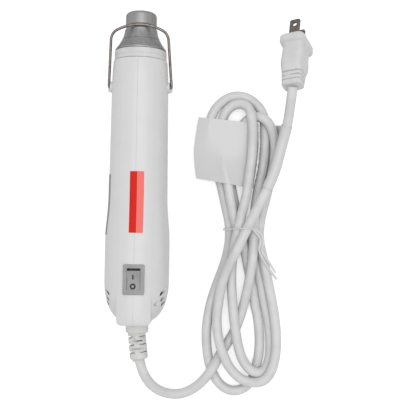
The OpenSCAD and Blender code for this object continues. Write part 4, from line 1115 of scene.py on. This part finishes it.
def make_plug():
    """The plug's body: ribbed neck, grip that swells a little and a flange with round corners."""
    sections = [rounded_outline(9.8, 13.8, 2.6, 0), rounded_outline(10.8, 14.8, 2.8, 0.6),
                rounded_outline(11, 15, 2.8, 3.5)]
    for z, size in ((4.15, (11.6, 15.2)), (7.25, (12.4, 15.4))):
        sections += [rounded_outline(*PLUG_WAIST, z - 0.6), rounded_outline(*PLUG_WAIST, z - 0.05),
                     rounded_outline(*size, 2.8, z), rounded_outline(*size, 2.8, z + 2.45)]
    sections += [rounded_outline(*PLUG_WAIST, 9.75), rounded_outline(*PLUG_WAIST, 10.3),
                 rounded_outline(13.4, 15.4, 3, 10.35), rounded_outline(16.8, 15.8, 3.6, 13),
                 rounded_outline(19.4, 16.4, 4, 16.5), rounded_outline(19.8, 16.4, 4, 19.5),
                 rounded_outline(19.2, 15.6, 4, 26), rounded_outline(19, 15.6, 4, 31.6),
                 rounded_outline(20, 16.2, 4, 32.8), rounded_outline(25.7, 18.2, 4.6, 33.6),
                 rounded_outline(26.5, 19, 4.8, 34.4), rounded_outline(26.5, 19, 4.8, 38),
                 rounded_outline(25.7, 18.2, 4.6, PLUG_LEN)]
    body = loft("plug_moulding", sections)
    for x, w in BLADES:
        cut(body, block("blade_slot", (x, 0, PLUG_LEN), (BLADE_T + 0.1, w + 0.1, 10)))
    cut(body, block("bridge", BRIDGE_AT, BRIDGE_SIZE), "UNION")
    soften(body, 0.25, 40, 2)
    shade(body, 40)
    return body


def make_blades():
    """The two flat blades with round corners and a hole near the tip."""
    blades = []
    middle = PLUG_LEN + (BLADE_LEN - BLADE_ROOT) / 2
    for x, w in BLADES:
        blade = rounded_block("blade", w, BLADE_LEN + BLADE_ROOT, -BLADE_T / 2, BLADE_T / 2, 1.5)
        # Stands the blade along the plug, with its width along Y and its thickness along X
        move(blade, Matrix(((0, 0, 1, x), (1, 0, 0, 0), (0, 1, 0, middle), (0, 0, 0, 1))))
        z = PLUG_LEN + BLADE_LEN - HOLE_BACK
        cut(blade, rod("hole", (x - 3, 0, z), (x + 3, 0, z), HOLE_R, 24))
        soften(blade, 0.2, 40, 2)
        blades.append(blade)
    blades = join("metal_blades", blades)
    shade(blades, 35)
    return blades


# The plug's body: length, thin waist between its ribs, and a bridge that joins two ribs
PLUG_LEN = 38.6
PLUG_WAIST = (8.6, 12.6, 2)
BRIDGE_AT = (4.4, -2.6, 6.9)
BRIDGE_SIZE = (4, 3.4, 1.2)

# The blades: place and width of each, length outside and inside the body, and their holes
BLADES = ((6.35, 7.9), (-6.35, 6.35))
BLADE_LEN = 16.5
BLADE_ROOT = 4
BLADE_T = 1.5
HOLE_BACK = 4.4
HOLE_R = 1.6

# How the plug lies: the lead holds its neck up, and its blades point down and to the back
PLUG_PITCH = 24
PLUG_YAW = 7
PLUG_ROLL = -120
PLUG_PLACE = (Matrix.Translation(Vector(PLUG_AT) * MM) @ Matrix.Rotation(math.radians(-PLUG_YAW), 4, "Z")
              @ Matrix.Rotation(math.radians(-PLUG_PITCH - 90), 4, "X")
              @ Matrix.Rotation(math.radians(PLUG_ROLL), 4, "Z"))

plug = make_plug()
place(plug, PLUG_PLACE)
dress(plug, PLUG_PVC, "plug_body", "tool", "plug_body")
blades = make_blades()
place(blades, PLUG_PLACE)
dress(blades, BLADE_METAL, "plug_blades", "tool", "plug_blades")


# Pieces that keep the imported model's shape, with their finishes
INNER = {
    "housing_screws": plain_metal("zinc_plated_screw", "#A9A9A6", "#9B9B98", "#B6B6B3", 0.35),
    "heat_shield": plain_metal("rolled_steel", "#A8A8A8", "#9C9C9C", "#B4B4B4", 0.38),
    "mica_sleeve": mica(), "mica_former": mica(),
    "heating_coil": plain_metal("nichrome_wire", "#6F6A66", "#625D59", "#7D7874", 0.45),
    "thermal_cutoff": moulded("glazed_ceramic", "#CDBB9A", "#C5B290", "#D4C3A3", 0.35),
    "heater_leads": moulded("red_silicone_sleeve", "#A33226", "#992C21", "#AD3A2D", 0.55),
    "fan_duct": moulded("black_phenolic", "#4A4A4A", "#434343", "#515151", 0.5),
    "motor_can": plain_metal("galvanised_can", "#B4B5B6", "#A8A9AA", "#BFC0C1", 0.36),
    "motor_shaft": plain_metal("ground_steel", "#9FA0A1", "#949596", "#AAABAC", 0.25),
    "impeller": moulded("black_nylon", "#2B2B2B", "#262626", "#313131", 0.45),
    "motor_leads": moulded("blue_wire_pvc", "#2F58B0", "#294FA2", "#3561BC", 0.45),
    "rectifier_board": moulded("green_solder_mask", "#2E6B3F", "#296239", "#347447", 0.35),
    "rectifier_diodes": moulded("black_epoxy", "#242424", "#1F1F1F", "#2A2A2A", 0.4),
    "switch_terminals": plain_metal("tinned_brass", "#C2AC6E", "#B7A063", "#CDB87B", 0.35),
    "supply_leads": moulded("black_wire_pvc", "#2A2A2A", "#252525", "#303030", 0.45),
    "inner_cord": PVC,
    "cord_clamp": moulded("grey_nylon_bar", "#B9B9B7", "#B2B2B0", "#C0C0BE", 0.5),
    "clamp_screws": plain_metal("black_zinc_screw", "#5C5C5C", "#535353", "#666666", 0.4),
}
for name, material in INNER.items():
    for holder in frame["nodes"][name].material_slots:
        holder.material = material


# Tag
def crossings(y):
    """Places in the lead's line where it passes y, in order from the strain relief."""
    side = lead_line[:, 1] - y
    return [i for i in range(len(side) - 1) if side[i] * side[i + 1] < 0]


def strand(near):
    """The run of the lead that rises or falls steadily round one place, finely divided."""
    rises = np.diff(lead_line[:, 1]) > 0
    turns = np.flatnonzero(rises != rises[near])
    first = max([i + 1 for i in turns if i < near], default=0)
    last = min([i for i in turns if i > near], default=len(rises))
    run = lead_line[first:last + 1]
    fine = np.linspace(0, len(run) - 1, 5 * len(run))
    return np.stack([np.interp(fine, np.arange(len(run)), run[:, k]) for k in range(3)], axis=1)


def rests(places, strands, upper):
    """How low a film over places can lie on strands, or with upper, how high it can come under them."""
    reach = CORD_R + FILM_GAP
    points = np.vstack(strands)
    flat = np.linalg.norm(places[:, :, None, :] - points[None, None, :, :2], axis=3)
    swell = np.sqrt(np.maximum(reach ** 2 - flat ** 2, 0))
    if upper:
        return np.where(flat < reach, points[:, 2] - swell, NO_LIMIT).min(axis=2)
    return np.where(flat < reach, points[:, 2] + swell, FILM_GAP).max(axis=2)


def wrap_rows(share):
    """The part of the film that goes round the lead, a little wider towards its end."""
    # The seventh crossing is the lead's last run, which goes to the plug
    lead = lead_line[crossings(TAG_MIDDLE)[6] - 30:]
    wrap_y = WRAP_ENDS[0] + (WRAP_ENDS[1] - WRAP_ENDS[0]) * share
    core = np.stack([np.interp(wrap_y, lead[:, 1], lead[:, k]) for k in range(3)], axis=1)
    ahead = np.gradient(core, axis=0)
    ahead /= np.linalg.norm(ahead, axis=1)[:, None]
    across = np.cross(ahead, [0, 0, 1])
    across /= np.linalg.norm(across, axis=1)[:, None]
    top = np.cross(across, ahead)
    turn = np.radians(np.linspace(*WRAP_TURN, WRAP_STEPS + 1))
    out = CORD_R + FILM_GAP + np.linspace(0, WRAP_GROWTH, WRAP_STEPS + 1)
    return (core[:, None] + out[None, :, None] * (np.cos(turn)[None, :, None] * across[:, None]
                                                 + np.sin(turn)[None, :, None] * top[:, None]))


def film_rows():
    """Rows of points of the tag: from its free edge over and under the strands and round the lead."""
    strands = [strand(i) for i in crossings(TAG_MIDDLE)]
    # Counted along the lead, these strands pass over the film, and it lies on the others
    above = [strands[i] for i in (0, 3, 5)]
    below = [strands[i] for i in (1, 2, 4)]
    share = np.linspace(0, 1, TAG_ROWS + 1)
    wrap = wrap_rows(share)
    free_edge = np.stack([np.interp(share, [0, 0.5, 1], [p[k] for p in TAG_EDGE]) for k in range(2)],
                         axis=1)
    free_edge[:, 0] -= EDGE_BOW * np.sin(np.pi * share)
    step = np.linspace(0, 1, FLAG_STEPS, endpoint=False)
    plan = free_edge[:, None] + (wrap[:, 0, None, :2] - free_edge[:, None]) * step[None, :, None]
    low = rests(plan, below, False)
    high = rests(plan, above, True)
    # Between two of the strands that pass over it, the film stands up in a fold
    front_x, next_x = (np.interp(plan[:, :, 1], *run[np.argsort(run[:, 1])][:, [1, 0]].T)
                       for run in (above[1], above[0]))
    aside = np.maximum(front_x + CORD_R / 2 - plan[:, :, 0], plan[:, :, 0] - next_x + CORD_R)
    low = np.maximum(low, FOLD_H - FOLD_SLOPE * np.maximum(aside, 0))
    # Each height is drawn to the mean of its neighbours, within what holds the film up and down
    height = TAG_EDGE_H + (wrap[:, :1, 2] - TAG_EDGE_H) * step[None, :] ** LATE_RISE
    for turn in range(FILM_ROUNDS):
        ahead = np.concatenate([height[:, 1:], wrap[:, :1, 2]], axis=1)
        behind = np.concatenate([height[:, :1], height[:, :-1]], axis=1)
        height = (ahead + behind) / 2
        height[1:-1] += 0.25 * (height[:-2] + height[2:] - 2 * height[1:-1])
        height[:, 0] = TAG_EDGE_H
        height = np.minimum(np.maximum(height, low), np.maximum(high, FILM_GAP))
    flag = np.concatenate([plan, height[:, :, None]], axis=2)
    return np.concatenate([flag, wrap], axis=1)


# The tag's film, and how far it stays off the lead and the table
FILM_T = 0.12
FILM_GAP = 0.25
NO_LIMIT = 99
FILM_ROUNDS = 2500

# Where the tag crosses the hank, its free edge, and the fold between two strands
TAG_MIDDLE = 27
TAG_EDGE = [(41.4, 7.4), (40.6, 28), (42.6, 53.6)]
TAG_EDGE_H = 5
EDGE_BOW = 1.2
LATE_RISE = 6
FOLD_H = 11
FOLD_SLOPE = 1.5

# The wrap round the lead: its ends along Y, its angles in degrees, and how much wider it gets
WRAP_ENDS = (-0.3, 46.1)
WRAP_TURN = (-55, 235)
WRAP_GROWTH = 0.25

# Points of the tag's grid
TAG_ROWS = 40
FLAG_STEPS = 130
WRAP_STEPS = 30

tag_rows = film_rows()
tag = lay_grid("film_tag", FLAG_STEPS + WRAP_STEPS, TAG_ROWS, lambda u, v: Vector(
    tag_rows[round(v * TAG_ROWS), round(u * (FLAG_STEPS + WRAP_STEPS))]) * MM)
modify(tag, "SOLIDIFY", thickness=FILM_T * MM, offset=0)
shade(tag, 60)
dress(tag, white_film(), "cord_tag", "tool", "cord_tag")


# Tie
def tie_ring():
    """The wire round the waist: it lies close to the outermost strands that it holds."""
    held = []
    for i in crossings(TIE_Y):
        if lead_line[i, 0] < TIE_RIGHT:
            held.append(lead_line[i, [0, 2]])
    held = np.array(held)
    ring = []
    for k in range(TIE_STEPS):
        angle = 2 * math.pi * k / TIE_STEPS
        out = np.array([math.cos(angle), math.sin(angle)])
        furthest = held[np.argmax(held @ out)]
        x, z = furthest + out * (CORD_R + TIE_R + TIE_GAP)
        ring.append((x, TIE_Y + TIE_SLOPE * (x - held[:, 0].mean()), z))
    return ring


# The ring: its slope across the hank, the furthest strand that it holds, and its wire
TIE_SLOPE = 0.12
TIE_RIGHT = 84
TIE_R = 0.65
TIE_GAP = 0.15
TIE_STEPS = 72

# The two bent tails, as listed points
TAIL_R = 0.85
TAIL_ROUTES = [
    [(83.4, -28.8, 21), (84.6, -30.6, 19.6), (87, -32.8, 17.4), (89.4, -35.7, 16.2), (90.2, -39, 16.6),
     (89.1, -41.9, 17), (88.9, -45, 16), (90.3, -48.6, 15.6), (92.4, -52.4, 15.2), (96, -58, 12.6),
     (102.9, -67.1, 8)],
    [(83.2, -28.2, 20), (86.1, -30, 18.6), (89.6, -32.6, 17.2), (91.5, -35.7, 16.6), (92.4, -39, 15.9),
     (91.4, -42.3, 15.6), (90.6, -45, 15.9), (92.4, -48.2, 16.4), (96.3, -53.7, 15), (101.8, -62, 11)]]

ties = [cord_curve("tie_ring", tie_ring(), TIE_R)]
ties[0].data.splines[0].use_cyclic_u = True
ties += [cord_curve("tie_tail", even_route(points, 0.8), TAIL_R) for points in TAIL_ROUTES]
for part in ties:
    only(part)
    bpy.ops.object.convert(target="MESH")
tie = join("wire_tie", ties)
shade(tie, 50)
dress(tie, TIE_PVC, "twist_tie", "tool", "twist_tie")


# Light and floor
def add_light():
    """One large soft lamp overhead and a plain grey world that mirrors and the camera see white."""
    world = bpy.data.worlds.new("studio")
    bpy.context.scene.world = world
    world.use_nodes = True
    tree = world.node_tree
    back = tree.nodes["Background"]
    path = add(tree, "ShaderNodeLightPath")
    seen = add(tree, "ShaderNodeMath", {"operation": "MAXIMUM"}, n0=path.outputs["Is Camera Ray"],
               n1=path.outputs["Is Glossy Ray"])
    clear = add(tree, "ShaderNodeMath", {"operation": "MAXIMUM"}, n0=seen.outputs["Value"],
                n1=path.outputs["Is Transmission Ray"])
    level = add(tree, "ShaderNodeMapRange", Value=clear.outputs["Value"], To_Min=WORLD_LEVEL, To_Max=1.0)
    back.inputs["Color"].default_value = (1, 1, 1, 1)
    tree.links.new(level.outputs["Result"], back.inputs["Strength"])
    lamp = bpy.data.lights.new("overhead", "AREA")
    lamp.size = LAMP_SIZE
    lamp.energy = LAMP_POWER
    holder = bpy.data.objects.new("overhead", lamp)
    holder.location = LAMP_AT
    aim = Vector(SCENE_MIDDLE) - Vector(LAMP_AT)
    holder.rotation_euler = aim.to_track_quat("-Z", "Y").to_euler()
    bpy.context.scene.collection.objects.link(holder)


def add_floor():
    """A pale floor: white to the camera where it is lit, with the object's soft shadow kept."""
    material, tree, shader, coords = finish("pale_floor", "#E8E8E8", 0.9)
    path = add(tree, "ShaderNodeLightPath")
    lift = add(tree, "ShaderNodeMath", {"operation": "MULTIPLY"}, n0=path.outputs["Is Camera Ray"],
               n1=FLOOR_LIFT)
    shader.inputs["Emission Color"].default_value = (1, 1, 1, 1)
    tree.links.new(lift.outputs["Value"], shader.inputs["Emission Strength"])
    bpy.ops.object.select_all(action="DESELECT")
    bpy.ops.mesh.primitive_plane_add(size=3, location=SCENE_MIDDLE)
    floor = bpy.context.object
    floor.name = "floor"
    floor.data.materials.append(material)


# Levels and places of the light, in metres
SCENE_MIDDLE = (0.05, 0, 0)
WORLD_LEVEL = 0.66
LAMP_AT = (0.12, 0.12, 1.4)
LAMP_SIZE = 1.3
LAMP_POWER = 7.6
FLOOR_LIFT = 0.5
add_light()
add_floor()
bpy.context.scene.view_settings.view_transform = "Standard"
